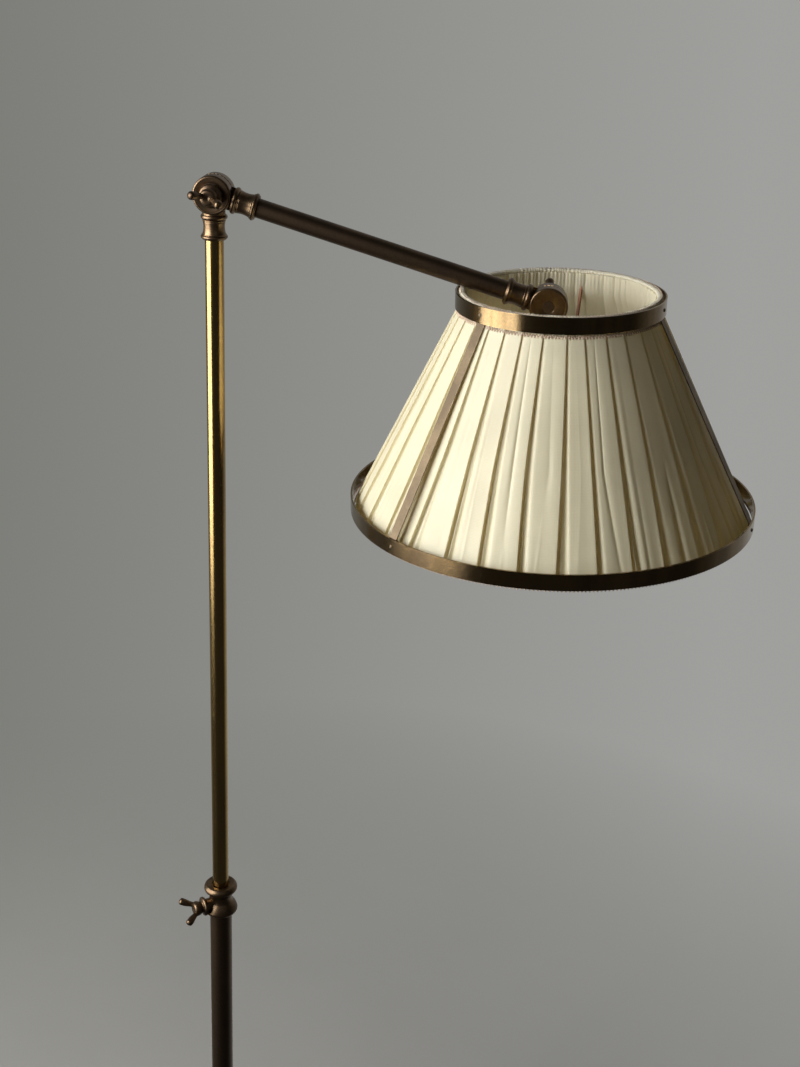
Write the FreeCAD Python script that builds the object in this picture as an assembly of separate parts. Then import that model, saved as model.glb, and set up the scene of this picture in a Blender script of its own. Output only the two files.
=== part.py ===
import FreeCAD, Part
import math
import os

# A bridge floor lamp: a weighted round foot, a telescoping brass stem, a toothed knuckle, a short
# drop arm, a second knuckle, and a lampholder that carries a pleated shade in a brass cage.
# Millimetres. The origin is the centre of the foot's underside; +Z is up and the arm lies along +X.

V = FreeCAD.Vector
ORIGIN = V(0, 0, 0)
AXIS_X = V(1, 0, 0)
AXIS_Y = V(0, 1, 0)
AXIS_Z = V(0, 0, 1)

# ---------------------------------------------------------------- overall sizes
joint_height = 1380.0        # floor to the pin of the upper knuckle
collar_height = 657.8        # floor to the underside of the clamp collar
arm_length = 290.0           # pin to pin
arm_slope = 14.9             # degrees that the arm drops below level
shade_tilt = 2.0             # degrees that the shade leans at rest
shade_offset = 9.5           # the shade hangs this far off the lampholder's axis

# ---------------------------------------------------------------- clearances
press_gap = 0.02             # a pressed or threaded seat, radial
running_gap = 0.06           # a shaft that turns or slides in its guide, radial
free_gap = 0.3               # neighbouring pieces that move apart

# ---------------------------------------------------------------- tubes
stem_radius = 8.0
stem_wall = 1.2
stem_clearance = 1.5         # between the stem and the outer tube, radial
outer_tube_wall = 1.5
stem_overlap = 110.0         # stem inside the outer tube, below the collar's foot
arm_tube_wall = 1.2

# ---------------------------------------------------------------- foot
foot_radius = 135.0
foot_band_height = 13.0      # upright edge of the spun cover
foot_dome_height = 47.0      # top of the cover's neck
foot_step = 8.0              # width of the step inside the band
cover_wall = 1.5
felt_thickness = 2.0
weight_thickness = 18.0
rod_radius = 5.0             # hollow threaded rod that ties the foot together
rod_bore = 3.6
nut_height = 6.0
washer_thickness = 2.0
socket_height = 34.0
grommet_bore = 3.3
grommet_hole = 4.6

# ---------------------------------------------------------------- clamp collar and wing screws
collar_ring_radius = 16.6
collar_wall = 2.05           # least wall round the collar's bore, at its waist
collar_length = 35.2
collar_lip = 2.0             # thickness of the lip that closes on the stem
collar_socket_depth = 8.0
screw_height = 12.7          # wing screw's axis above the collar's underside
screw_azimuth = 216.5        # degrees from +X, seen from above
screw_radius = 3.0
boss_radius = 6.6
boss_reach = 16.9            # boss end face from the stem's axis
wing_disc_radius = 9.6
wing_disc_thickness = 3.0
wing_hub_radius = 7.4
wing_hub_length = 13.0
wing_rod_radius = 3.4
wing_spread = 13.4           # wing tip from the screw's axis
wing_reach = 24.0            # wing tip beyond the seat

# ---------------------------------------------------------------- knuckles
knuckle_radius = 16.0
knuckle_half = 11.0          # thickness of one half, from the mating plane
knuckle_edge = 1.6           # rounding of the outer rim
tooth_count = 32
tooth_depth = 1.1
tooth_share = 0.86           # groove width as a share of the pitch
bolt_radius = 3.0
bolt_head_radius = 4.6
bolt_square = 4.2            # key square on the bolt's head, across its flats
washer_radius = 9.6
knuckle_washer = 1.3
ferrule_start = 16.5         # pin to the ferrule's first bead
ferrule_end = 37.5           # pin to the ferrule's open end
ferrule_proud = 3.2          # bead beyond the tube that the ferrule holds
ferrule_wall = 0.9           # least wall round that tube
ferrule_socket = 13.5        # depth of tube in the ferrule

# ---------------------------------------------------------------- lampholder and lamp
cap_top = -39.0              # heights on the shade's axis, from the lower pin
cap_foot = -56.0
holder_radius = 19.6
skirt_radius = 19.0
holder_shoulder = -62.0
holder_mouth = -92.0
holder_wall = 1.3
liner_wall = 2.4
shade_ring_height = 7.0
shade_ring_radius = 23.0
hub_thickness = 1.6
hub_radius = 26.6
lamp_cap_radius = 13.2
lamp_cap_top = -69.0
lamp_cap_length = 24.0
lamp_radius = 22.5
lamp_length = 74.0

# ---------------------------------------------------------------- shade
arm_over_rim = 0.5           # the arm's underside above the shade's rim
rim_rise = 0.9               # the rim above the top hoop
hoop_depth = 13.5
top_hoop_radius = 86.9
bottom_hoop_radius = 174.3
hoop_strip = 1.2
bottom_strip = 1.5
shade_height = 190.5
slat_width = 9.0
slat_strip = 1.2
slat_azimuths = {"slat_front": -137.0, "slat_side": -17.0, "slat_rear": 103.0}
pleat_count = 33
cloth = 0.9                  # thickness of the folded silk
top_fold = 1.3               # depth of a pleat at the top
bottom_fold = 4.4            # depth of a fold at the hem
fold_step = 0.22             # where in its pitch a fold turns back
fold_wander = 0.12           # unevenness of the folds at the hem, as a share of the pitch
gather_count = 32
gather_top = 0.8
gather_bottom = 1.6
lining_cloth = 0.8
wire_radius = 1.5
bottom_wire_radius = 1.9
rib_radius = 1.1
spoke_radius = 1.6
spoke_azimuths = (75.6, 195.6, 315.6)
rib_azimuths = (23.0, 143.0, 263.0, 83.0, 203.0, 323.0)
braid_width = 2.8


# ---------------------------------------------------------------- fineness
chord_sweep = 65.0           # most that one chord of a turned arc turns, degrees
horn_sides = 10              # sides of a wing horn's section
wire_sides = 6               # sides of a wire ring's section


# ================================================================ helpers
def turned(*path):
    """Turn an outline of (radius, height) points about Z.

    A step that holds two points is an arc through the first to the second. It is cut into chords, so
    that the turned piece is a stack of cones with few facets.
    """
    points = [V(path[0][0], 0, path[0][1])]
    for step in path[1:]:
        if isinstance(step[0], tuple):
            (middle_radius, middle_height), (end_radius, end_height) = step
            arc = Part.Arc(points[-1], V(middle_radius, 0, middle_height), V(end_radius, 0, end_height)).toShape()
            sweep = math.degrees(arc.LastParameter - arc.FirstParameter)
            chords = max(2, math.ceil(sweep / chord_sweep))
            points += arc.discretize(Number=chords + 1)[1:]
        else:
            points.append(V(step[0], 0, step[1]))
    return Part.Face(Part.makePolygon(points + points[:1])).revolve(ORIGIN, AXIS_Z, 360)


def ring(outer, inner, low, high):
    """A plain ring between two heights."""
    return turned((inner, low), (outer, low), (outer, high), (inner, high))


def rod(radius, low, high):
    """A round bar on the Z axis."""
    return Part.makeCylinder(radius, high - low, V(0, 0, low))


def bar(radius, start, end):
    """A round bar from one point to another."""
    return Part.makeCylinder(radius, (end - start).Length, start, end - start)


def turn(shape, axis, degrees):
    """A copy of the shape, turned about an axis through the origin."""
    return moved(shape, FreeCAD.Placement(ORIGIN, FreeCAD.Rotation(axis, degrees)))


def moved(shape, placement):
    """A copy of the shape, put in place."""
    result = shape.copy()
    result.Placement = placement.multiply(result.Placement)
    return result


def polar(radius, azimuth, height):
    """A point from its radius, its azimuth in degrees and its height."""
    angle = math.radians(azimuth)
    return V(radius * math.cos(angle), radius * math.sin(angle), height)


def strand(points, radii, sides, normal):
    """A bar of a few flat sides along points that lie in one plane, with a radius at each point."""
    sections = []
    for i, point in enumerate(points):
        along = points[min(i + 1, len(points) - 1)] - points[max(i - 1, 0)]
        across = along.normalize().cross(normal)
        corners = []
        for k in range(sides):
            corner = polar(radii[i], 360.0 * k / sides, 0)
            corners.append(point + normal * corner.x + across * corner.y)
        sections.append(Part.makePolygon(corners + corners[:1]))
    return Part.makeLoft(sections, True, True)


# ================================================================ places
arm_direction = V(math.cos(math.radians(arm_slope)), 0, -math.sin(math.radians(arm_slope)))
upper_pin = V(0, 0, joint_height)
lower_pin = upper_pin + arm_direction * arm_length


def at_upper_pin(shape, degrees):
    """Turn a piece that was drawn round the pin, and carry it to the upper knuckle."""
    return moved(shape, FreeCAD.Placement(upper_pin, FreeCAD.Rotation(AXIS_Y, degrees)))


def at_lower_pin(shape, degrees):
    """Turn a piece that was drawn round the pin, and carry it to the lower knuckle."""
    return moved(shape, FreeCAD.Placement(lower_pin, FreeCAD.Rotation(AXIS_Y, degrees)))


def on_shade_axis(shape):
    """Place a piece that was drawn on the lampholder's axis, with the lower pin at zero."""
    return at_lower_pin(shape, -shade_tilt)


def on_shade(shape):
    """Place a piece of the shade, which hangs a little off the lampholder's axis."""
    return on_shade_axis(moved(shape, FreeCAD.Placement(V(shade_offset, 0, 0), FreeCAD.Rotation())))


# ================================================================ foot
outer_tube_bore = stem_radius + stem_clearance
outer_tube_radius = outer_tube_bore + outer_tube_wall
weight_low = felt_thickness
weight_high = weight_low + weight_thickness
weight_radius = foot_radius - cover_wall - 6.0
counterbore_radius = 21.0
counterbore_high = weight_low + washer_thickness + nut_height + 1.0
socket_low = foot_dome_height
socket_high = socket_low + socket_height
tube_low = socket_low + 8.0
socket_neck = outer_tube_radius + 2.6
socket_flange = 23.0
plug_high = tube_low + 18.0
collar_shoulder = collar_height + collar_socket_depth
cover_low = felt_thickness + 1.0
grommet_height = cover_low + foot_band_height / 2


def foot_outline(inset):
    """The spun cover's section: an upright band, a step, a low dome and a steeper neck."""
    edge = foot_radius - inset
    band = cover_low + foot_band_height - inset / 2
    neck = socket_flange - 1.0
    top = foot_dome_height - inset
    return [
        (edge, cover_low),
        (edge, band),
        (edge - foot_step, band + foot_step * 0.6),
        (neck + (edge - neck) * 0.28, top - (top - band) * 0.45),
        (neck, top),
    ]


def base_felt():
    return rod(weight_radius - 3.0, 0.0, felt_thickness)


def base_weight():
    body = turned(
        (rod_radius + free_gap, weight_low),
        (weight_radius, weight_low),
        (weight_radius, weight_high - 6.0),
        (weight_radius - 12.0, weight_high),
        (rod_radius + free_gap, weight_high),
    )
    pocket = rod(counterbore_radius, weight_low - 1.0, counterbore_high)
    groove_width = 2 * grommet_hole + 1.0
    groove = Part.makeBox(weight_radius + 2.0, groove_width, grommet_height + grommet_hole - weight_low + 1.0,
                          V(-weight_radius - 2.0, -groove_width / 2, weight_low - 1.0))
    return body.cut(pocket).cut(groove)


def base_cover():
    outside = turned(*foot_outline(0.0), (rod_radius + press_gap, foot_dome_height),
                     (rod_radius + press_gap, cover_low))
    inside = turned(*foot_outline(cover_wall)[1:], (0.0, foot_dome_height - cover_wall),
                    (0.0, felt_thickness), (foot_radius - cover_wall, felt_thickness))
    hole = bar(grommet_hole, V(-foot_radius - 5.0, 0, grommet_height),
               V(-foot_radius + 8.0, 0, grommet_height))
    return outside.cut(inside).cut(hole)


def base_socket():
    """Turned socket between the cover and the outer tube: flange, hollow neck and bead."""
    bore = outer_tube_radius + press_gap
    return turned(
        (rod_radius + press_gap, socket_low),
        (socket_flange - 1.5, socket_low),
        ((socket_flange, socket_low + 2.0), (socket_flange - 1.5, socket_low + 4.0)),
        (socket_flange - 4.0, socket_low + 4.6),
        ((socket_neck + 1.2, socket_low + 13.0), (socket_neck, socket_high - 7.0)),
        ((socket_neck + 2.6, socket_high - 4.5), (socket_neck, socket_high - 2.0)),
        (socket_neck - 0.6, socket_high),
        (bore, socket_high),
        (bore, tube_low),
        (rod_radius + press_gap, tube_low),
    )


def base_rod():
    low = felt_thickness + 0.5
    return ring(rod_radius, rod_bore, low, plug_high - 2.0)


def base_washer():
    return ring(16.0, rod_radius + free_gap, counterbore_high - washer_thickness, counterbore_high)


def base_nut():
    high = counterbore_high - washer_thickness
    across_corners = 9.8
    corners = [polar(across_corners, 60 * i, high - nut_height) for i in range(7)]
    hexagon = Part.Face(Part.makePolygon(corners)).extrude(V(0, 0, nut_height))
    return hexagon.cut(rod(rod_radius + press_gap, high - nut_height - 1.0, high + 1.0))


def tube_plug():
    return ring(outer_tube_bore - press_gap, rod_radius + press_gap, tube_low, plug_high)


def cable_grommet():
    """Rubber bush in the cover's rear edge, where the supply lead comes out."""
    lip = grommet_hole + 1.4
    neck = grommet_hole - press_gap
    outside = 1.6
    inside = cover_wall + 0.2 + 1.4
    bush = turned(
        (grommet_bore, -inside),
        (lip, -inside),
        (lip, -cover_wall - 0.2),
        (neck, -cover_wall - 0.2),
        (neck, 0.2),
        (lip, 0.2),
        ((lip - 0.4, outside - 0.3), (lip - 1.4, outside)),
        (grommet_bore, outside),
    )
    outward = FreeCAD.Rotation(AXIS_Y, -90)
    return moved(bush, FreeCAD.Placement(V(-foot_radius, 0, grommet_height), outward))


# ================================================================ column
stem_low = collar_height - stem_overlap
stem_bore = stem_radius - stem_wall
collar_bore = stem_radius + 1.35
collar_waist_radius = collar_bore + collar_wall
bush_low = collar_height + screw_height + 5.0
collar_high = collar_height + collar_length


def outer_tube():
    return ring(outer_tube_radius, outer_tube_bore, tube_low, collar_shoulder)


def collar():
    """Spool-shaped clamp collar: two rounded rings, a waist, and a boss for the wing screw."""
    low = collar_height
    tube_socket = outer_tube_radius + press_gap
    lower_ring = low + 6.7
    upper_ring = collar_high - 4.4
    lip = stem_radius + 2 * free_gap
    spool = turned(
        (tube_socket, low),
        (tube_socket + 1.0, low),
        (tube_socket + 1.0, low + 1.6),
        ((collar_ring_radius - 0.5, low + 3.6), (collar_ring_radius, lower_ring)),
        ((collar_ring_radius - 1.6, lower_ring + 4.6), (collar_waist_radius + 0.6, lower_ring + 8.6)),
        ((collar_waist_radius, lower_ring + 11.6), (collar_waist_radius + 1.0, upper_ring - 7.4)),
        (collar_ring_radius - 1.4, upper_ring - 3.4),
        ((collar_ring_radius, upper_ring), (collar_ring_radius - 1.4, upper_ring + 3.2)),
        (collar_ring_radius - 3.6, collar_high),
        (lip + 1.0, collar_high - 0.8),
        (lip, collar_high - collar_lip),
        (collar_bore, collar_high - collar_lip),
        (collar_bore, collar_shoulder),
        (tube_socket, collar_shoulder),
    )
    height = low + screw_height
    boss = bar(boss_radius, polar(collar_bore + 1.0, screw_azimuth, height),
               polar(boss_reach, screw_azimuth, height))
    bore = bar(screw_radius + running_gap, polar(0, screw_azimuth, height),
               polar(boss_reach + 1.0, screw_azimuth, height))
    core = rod(collar_bore, collar_shoulder - 1.0, collar_high - collar_lip)
    seat = rod(tube_socket, low - 1.0, collar_shoulder)
    return spool.fuse(boss).cut([core, seat, bore]).removeSplitter()


def collar_bush():
    """Split guide bush that keeps the stem central in the collar."""
    bush_high = collar_high - collar_lip - free_gap
    sleeve = ring(collar_bore - press_gap, stem_radius + running_gap, bush_low, bush_high)
    slit = Part.makeBox(collar_bore + 2.0, 1.0, collar_length, V(0, -0.5, bush_low - 1.0))
    return sleeve.cut(turn(slit, AXIS_Z, 90))


def pressure_pad():
    """Brass slug between the wing screw's point and the stem."""
    height = collar_height + screw_height
    start = polar(stem_radius + free_gap, screw_azimuth, height)
    return bar(screw_radius - 0.1, start, polar(stem_radius + free_gap + 2.2, screw_azimuth, height))


def stem_bush():
    """Guide bush under the stem's lower end, sliding in the outer tube."""
    low = stem_low - 14.0
    return turned(
        (stem_bore - 2.0, low),
        (outer_tube_bore - running_gap, low),
        (outer_tube_bore - running_gap, stem_low - free_gap),
        (stem_bore - running_gap, stem_low - free_gap),
        (stem_bore - running_gap, stem_low + 12.0),
        (stem_bore - 2.0, stem_low + 12.0),
    )


def stem_tube():
    return ring(stem_radius, stem_bore, stem_low, joint_height - ferrule_end + ferrule_socket)


# ================================================================ wing screws
def horn(side):
    """One round horn of a wing head: it bends outwards from the hub and ends in a blunt tip."""
    root = V(side * 3.6, 0, wing_disc_thickness + 3.0)
    elbow = V(side * (wing_spread * 0.62), 0, wing_hub_length + 0.6)
    tip = V(side * wing_spread, 0, wing_reach)
    bend = Part.Arc(root, elbow, tip).toShape()
    radii = [wing_rod_radius * fullness for fullness in (1.0, 1.0, 1.0, 1.0, 0.9, 0.5)]
    return strand(bend.discretize(Number=len(radii)), radii, horn_sides, AXIS_Y)


def wings():
    """Head of a wing screw, on +Z with its seat at zero: disc, hub and two round horns."""
    neck = wing_hub_radius - 1.4
    head = turned(
        (0, 0),
        (wing_disc_radius - 0.7, 0),
        ((wing_disc_radius, wing_disc_thickness / 2), (wing_disc_radius - 0.7, wing_disc_thickness)),
        (neck, wing_disc_thickness + 0.6),
        (neck, wing_disc_thickness + 2.4),
        (wing_hub_radius, wing_hub_length - 1.0),
        (wing_hub_radius - 0.8, wing_hub_length),
        (0, wing_hub_length),
    )
    head = head.fuse([horn(1), horn(-1)])
    saddle_radius = 5.2
    saddle = Part.makeCylinder(saddle_radius, 40.0, V(0, -20.0, wing_hub_length + saddle_radius - 1.8), AXIS_Y)
    trough = saddle.common(Part.makeBox(2 * saddle_radius, 2 * wing_hub_radius, 12.0,
                                        V(-saddle_radius, -wing_hub_radius, wing_hub_length - 4.0)))
    return head.cut(trough)


def collar_screw():
    """Wing screw that clamps the stem."""
    tilt_from_level = 57.0
    tip = stem_radius + free_gap + 2.2 + 0.1
    shank = rod(screw_radius, -(boss_reach + free_gap - tip), 0.5)
    screw = turn(wings().fuse(shank), AXIS_Z, tilt_from_level)
    height = collar_height + screw_height
    seat = polar(boss_reach + free_gap, screw_azimuth, height)
    outward = FreeCAD.Rotation(AXIS_Z, screw_azimuth).multiply(FreeCAD.Rotation(AXIS_Y, 90))
    return moved(screw, FreeCAD.Placement(seat, outward))


# ================================================================ knuckles
FRONT = -1                   # the side towards -Y
REAR = 1
bolt_seat = knuckle_half - 3.2
nut_seat = knuckle_half - 0.7


def facing(side):
    """Rotation that lays the Z axis along Y, towards the front or the rear."""
    return FreeCAD.Placement(ORIGIN, FreeCAD.Rotation(AXIS_X, -90 * side))


def tooth_grooves():
    """Radial V grooves of a toothed clutch face, deeper towards the rim."""
    reach = knuckle_radius + 1.0
    half_pitch = tooth_share * 180.0 / tooth_count
    bottom = free_gap / 2 + tooth_depth * reach / knuckle_radius
    grooves = []
    for i in range(tooth_count):
        azimuth = 360.0 * i / tooth_count
        apex = V(0, 0, free_gap / 2 - 0.02)
        left = polar(reach, azimuth - half_pitch, free_gap / 2 - 0.1)
        right = polar(reach, azimuth + half_pitch, free_gap / 2 - 0.1)
        deep = polar(reach, azimuth, bottom)
        triangles = ((apex, left, right), (apex, right, deep), (apex, deep, left), (left, deep, right))
        faces = [Part.Face(Part.makePolygon([a, b, c, a])) for a, b, c in triangles]
        groove = Part.makeSolid(Part.makeShell(faces))
        if groove.Volume < 0:
            groove.reverse()
        grooves.append(groove)
    return grooves


def knuckle_disc(seat):
    """One half's disc on +Z, with its toothed face at the bottom and the bolt's seat on top."""
    seat_radius, seat_depth = seat
    disc = turned(
        (0, free_gap / 2),
        (knuckle_radius, free_gap / 2),
        (knuckle_radius, knuckle_half - knuckle_edge),
        ((knuckle_radius - 0.29 * knuckle_edge, knuckle_half - 0.29 * knuckle_edge),
         (knuckle_radius - knuckle_edge, knuckle_half)),
        (knuckle_radius - knuckle_edge - 0.3, knuckle_half - 0.4),
        (seat_radius, knuckle_half - 0.4),
        (seat_radius, seat_depth),
        (0, seat_depth),
    )
    return disc.cut(tooth_grooves())


ferrule_bead = stem_radius + ferrule_proud
ferrule_waist = stem_radius + ferrule_wall


def ferrule():
    """Turned ferrule on +Z from the pin: bead, step, hollow waist and end bead, bored for its tube."""
    start = ferrule_start
    end = ferrule_end
    socket = end - ferrule_socket
    body = turned(
        (0, start),
        (ferrule_bead - 1.3, start),
        ((ferrule_bead, start + 2.1), (ferrule_bead - 1.3, start + 4.2)),
        (ferrule_bead - 1.7, start + 4.5),
        (ferrule_bead - 1.7, start + 6.0),
        (ferrule_waist + 0.3, start + 6.4),
        ((ferrule_waist, start + 10.0), (ferrule_bead - 1.4, end - 4.6)),
        (ferrule_bead - 0.9, end - 4.2),
        ((ferrule_bead + 0.1, end - 2.4), (ferrule_bead - 1.0, end - 0.6)),
        (ferrule_bead - 1.9, end),
        (0, end),
    )
    return body.cut(rod(stem_radius + press_gap, socket, end + 1.0))


def knuckle(side, seat):
    """A knuckle half with its ferrule on +Z and its disc towards one side."""
    disc = moved(knuckle_disc(seat), facing(side))
    stump = rod(ferrule_waist + 1.0, washer_radius + free_gap, ferrule_start + 0.5)
    low = free_gap / 2 + tooth_depth
    slab = Part.makeBox(40.0, knuckle_half - 0.4 - low, 40.0, V(-20.0, low, 0))
    neck = stump.common(slab if side == REAR else slab.mirror(ORIGIN, AXIS_Y))
    half = disc.fuse(neck).fuse(ferrule())
    bore = bar(bolt_radius + running_gap, V(0, -20.0, 0), V(0, 20.0, 0))
    return half.cut(bore).removeSplitter()


NUT_SIDE = (washer_radius + 0.4, nut_seat)
HEAD_SIDE = (bolt_head_radius + free_gap / 2, bolt_seat)
washer_high = nut_seat + free_gap / 2 + knuckle_washer
ferrule_down = 180.0
ferrule_along_arm = 90.0 + arm_slope
ferrule_back_up_arm = arm_slope - 90.0


def pole_knuckle():
    return at_upper_pin(knuckle(FRONT, NUT_SIDE), ferrule_down)


def arm_knuckle_inner():
    return at_upper_pin(knuckle(REAR, HEAD_SIDE), ferrule_along_arm)


def arm_knuckle_outer():
    return at_lower_pin(knuckle(REAR, NUT_SIDE), ferrule_back_up_arm)


def holder_knuckle():
    return at_lower_pin(knuckle(FRONT, HEAD_SIDE), ferrule_down - shade_tilt)


def arm_tube():
    inset = ferrule_end - ferrule_socket
    tube = ring(stem_radius, stem_radius - arm_tube_wall, inset, arm_length - inset)
    return at_upper_pin(tube, ferrule_along_arm)


def pivot_bolt():
    """Bolt with a flush round head at minus Z that has a key square, and its end in the wing nut's hub."""
    length = nut_seat + free_gap + knuckle_washer + wing_hub_length - 4.0
    head_low = bolt_seat + press_gap
    head_high = knuckle_half - 0.4
    shank = turned(
        (0, -head_high),
        (bolt_head_radius, -head_high),
        (bolt_head_radius, -head_low),
        (bolt_radius, -head_low),
        (bolt_radius, length - 0.8),
        (bolt_radius - 0.8, length),
        (0, length),
    )
    corners = [polar(bolt_square / math.sqrt(2), 90.0 * i, -head_high - 1.0) for i in range(5)]
    key = Part.Face(Part.makePolygon(corners)).extrude(V(0, 0, 1.5))
    return shank.fuse(key)


def knuckle_washer_ring():
    low = nut_seat + free_gap / 2
    return ring(washer_radius, bolt_radius + running_gap, low, low + knuckle_washer)


def wing_nut():
    """Wing head with a blind threaded hole, seated on the knuckle's washer."""
    hole = rod(bolt_radius + running_gap, -1.0, wing_hub_length - 3.4)
    nut = wings().cut(hole)
    return moved(nut, FreeCAD.Placement(V(0, 0, washer_high + free_gap / 2), FreeCAD.Rotation()))


# The upper knuckle's nut is in front with its wings near level; the lower one's is behind, upright.
upper_wing_angle = 164.0
lower_wing_angle = 90.0


def pivot_bolt_upper():
    return at_upper_pin(moved(pivot_bolt(), facing(FRONT)), 0)


def pivot_bolt_lower():
    return at_lower_pin(moved(pivot_bolt(), facing(REAR)), 0)


def washer_upper():
    return at_upper_pin(moved(knuckle_washer_ring(), facing(FRONT)), 0)


def washer_lower():
    return at_lower_pin(moved(knuckle_washer_ring(), facing(REAR)), 0)


def wing_nut_upper():
    return at_upper_pin(moved(wing_nut(), facing(FRONT)), -upper_wing_angle)


def wing_nut_lower():
    return at_lower_pin(moved(wing_nut(), facing(REAR)), -lower_wing_angle)


# ================================================================ lampholder
# Drawn with the lower pin at zero and the lamp hanging towards minus Z.
nipple_radius = 5.0
liner_radius = skirt_radius - holder_wall - press_gap


def holder_nipple():
    """Hollow threaded stud between the knuckle's ferrule and the cap."""
    return on_shade_axis(ring(nipple_radius, 3.4, cap_top - 9.0, -(ferrule_end - ferrule_socket) - 0.5))


def holder_cap():
    """Domed cap of the lampholder."""
    wall = holder_wall
    return on_shade_axis(turned(
        (nipple_radius + press_gap, cap_top + 1.2),
        (9.0, cap_top + 1.2),
        (9.0, cap_top - 1.0),
        ((16.6, cap_top - 4.4), (holder_radius, cap_foot + 3.0)),
        (holder_radius, cap_foot),
        (holder_radius - wall, cap_foot),
        (holder_radius - wall, cap_foot + 3.0),
        ((15.8, cap_top - 5.4), (9.0, cap_top - 3.4)),
        (nipple_radius + press_gap, cap_top - 3.4),
    ))


def ferrule_insert():
    """Threaded insert that closes the lower ferrule and takes the nipple."""
    return on_shade_axis(ring(stem_radius, nipple_radius + press_gap, -ferrule_end,
                              -(ferrule_end - ferrule_socket)))


def holder_body():
    """Lampholder's shell: a shoulder that the shade hangs under, and a threaded skirt."""
    inner = skirt_radius - holder_wall
    flange = holder_radius + 2.2
    return on_shade_axis(turned(
        (inner, holder_mouth),
        (skirt_radius, holder_mouth),
        (skirt_radius, holder_shoulder),
        (flange, holder_shoulder),
        ((flange + 0.6, holder_shoulder + 1.2), (flange, holder_shoulder + 2.4)),
        (holder_radius, holder_shoulder + 3.0),
        (holder_radius, cap_foot),
        (inner, cap_foot),
    ))


def holder_liner():
    """Porcelain core with the lamp's threaded well."""
    well = lamp_cap_radius + 0.9
    high = cap_foot + 4.0
    core = turned(
        (well, holder_mouth + 1.0),
        (liner_radius, holder_mouth + 1.0),
        (liner_radius, cap_foot - 0.5),
        (liner_radius - 2.5, high),
        (0, high),
        (0, lamp_cap_top + 4.0),
        (well, lamp_cap_top + 4.0),
    )
    return on_shade_axis(core)


def holder_thread():
    """Metal screw shell inside the porcelain."""
    outer = lamp_cap_radius + 0.9 - press_gap
    return on_shade_axis(ring(outer, lamp_cap_radius + free_gap, lamp_cap_top - lamp_cap_length + 6.0,
                              lamp_cap_top - 1.0))


def holder_contact():
    """Sprung centre contact under the porcelain's floor."""
    return on_shade_axis(turned(
        (0, lamp_cap_top + free_gap),
        (1.6, lamp_cap_top + free_gap),
        (4.5, lamp_cap_top + 3.0),
        (4.5, lamp_cap_top + 4.0),
        (0, lamp_cap_top + 4.0),
    ))


def shade_ring():
    """Knurled ring that clamps the shade's hub under the shoulder."""
    high = holder_shoulder - hub_thickness - 2 * free_gap
    low = high - shade_ring_height
    body = turned(
        (skirt_radius + running_gap, low),
        (shade_ring_radius - 1.0, low),
        (shade_ring_radius, low + 1.0),
        (shade_ring_radius, high - 2.0),
        (shade_ring_radius + 1.8, high - 1.4),
        (shade_ring_radius + 1.8, high),
        (skirt_radius + running_gap, high),
    )
    flute_count = 20
    half_width = 0.9
    corners = [V(shade_ring_radius - half_width, 0, low - 1.0),
               V(shade_ring_radius + half_width, -2 * half_width, low - 1.0),
               V(shade_ring_radius + half_width, 2 * half_width, low - 1.0)]
    flute = Part.Face(Part.makePolygon(corners + corners[:1])).extrude(V(0, 0, high - low - 1.0))
    return on_shade_axis(body.cut([turn(flute, AXIS_Z, 360.0 * i / flute_count) for i in range(flute_count)]))


def lamp_cap():
    low = lamp_cap_top - lamp_cap_length
    return on_shade_axis(turned(
        (0, low),
        (lamp_cap_radius, low),
        (lamp_cap_radius, lamp_cap_top - 5.0),
        (4.8, lamp_cap_top - 1.4),
        (4.8, lamp_cap_top),
        (0, lamp_cap_top),
    ))


def lamp_glass():
    """Round frosted lamp: a ball that runs into a short neck."""
    low = lamp_cap_top - lamp_length
    centre = low + lamp_radius
    high = lamp_cap_top - lamp_cap_length
    ball = [polar(lamp_radius, latitude, 0) for latitude in range(-75, 31, 35)]
    outline = [(point.x, centre + point.y) for point in ball]
    return on_shade_axis(turned(
        (0, outline[0][1]),
        *outline,
        ((lamp_cap_radius + 1.6, high - 4.0), (lamp_cap_radius - 0.4, high)),
        (0, high),
    ))


# ================================================================ shade
slat_top_radius = top_hoop_radius - hoop_strip - free_gap / 2
slat_bottom_radius = bottom_hoop_radius - bottom_strip - free_gap / 2
silk_top_radius = slat_top_radius - slat_strip - free_gap / 2
silk_bottom_radius = bottom_hoop_radius - bottom_strip - 0.8
lining_top_radius = silk_top_radius - top_fold - cloth - 2 * wire_radius - 0.6
rim_inner_radius = lining_top_radius - 0.4
arm_rise = math.radians(arm_slope + shade_tilt)
arm_underside = (rim_inner_radius - shade_offset) * math.tan(arm_rise) - stem_radius / math.cos(arm_rise)
hoop_top = arm_underside - arm_over_rim - rim_rise   # heights on the shade's axis, from the lower pin
hoop_bottom = hoop_top - hoop_depth
shade_bottom = hoop_top - shade_height
bottom_hoop_top = shade_bottom + hoop_depth
silk_high = hoop_top - 0.9
silk_low = shade_bottom + 0.6
lining_bottom_radius = silk_bottom_radius - bottom_fold * 1.2 - cloth - 2 * bottom_wire_radius - 2.0
top_wire_ring = lining_top_radius + 0.3 + wire_radius
bottom_wire_ring = lining_bottom_radius + 0.9 + bottom_wire_radius
top_wire_height = hoop_top - 2.6
bottom_wire_height = silk_low + 2.4
spoke_low = holder_shoulder - free_gap - hub_thickness / 2


def top_hoop():
    return on_shade(ring(top_hoop_radius, top_hoop_radius - hoop_strip, hoop_bottom, hoop_top))


def bottom_hoop():
    return on_shade(ring(bottom_hoop_radius, bottom_hoop_radius - bottom_strip, shade_bottom, bottom_hoop_top))


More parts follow.
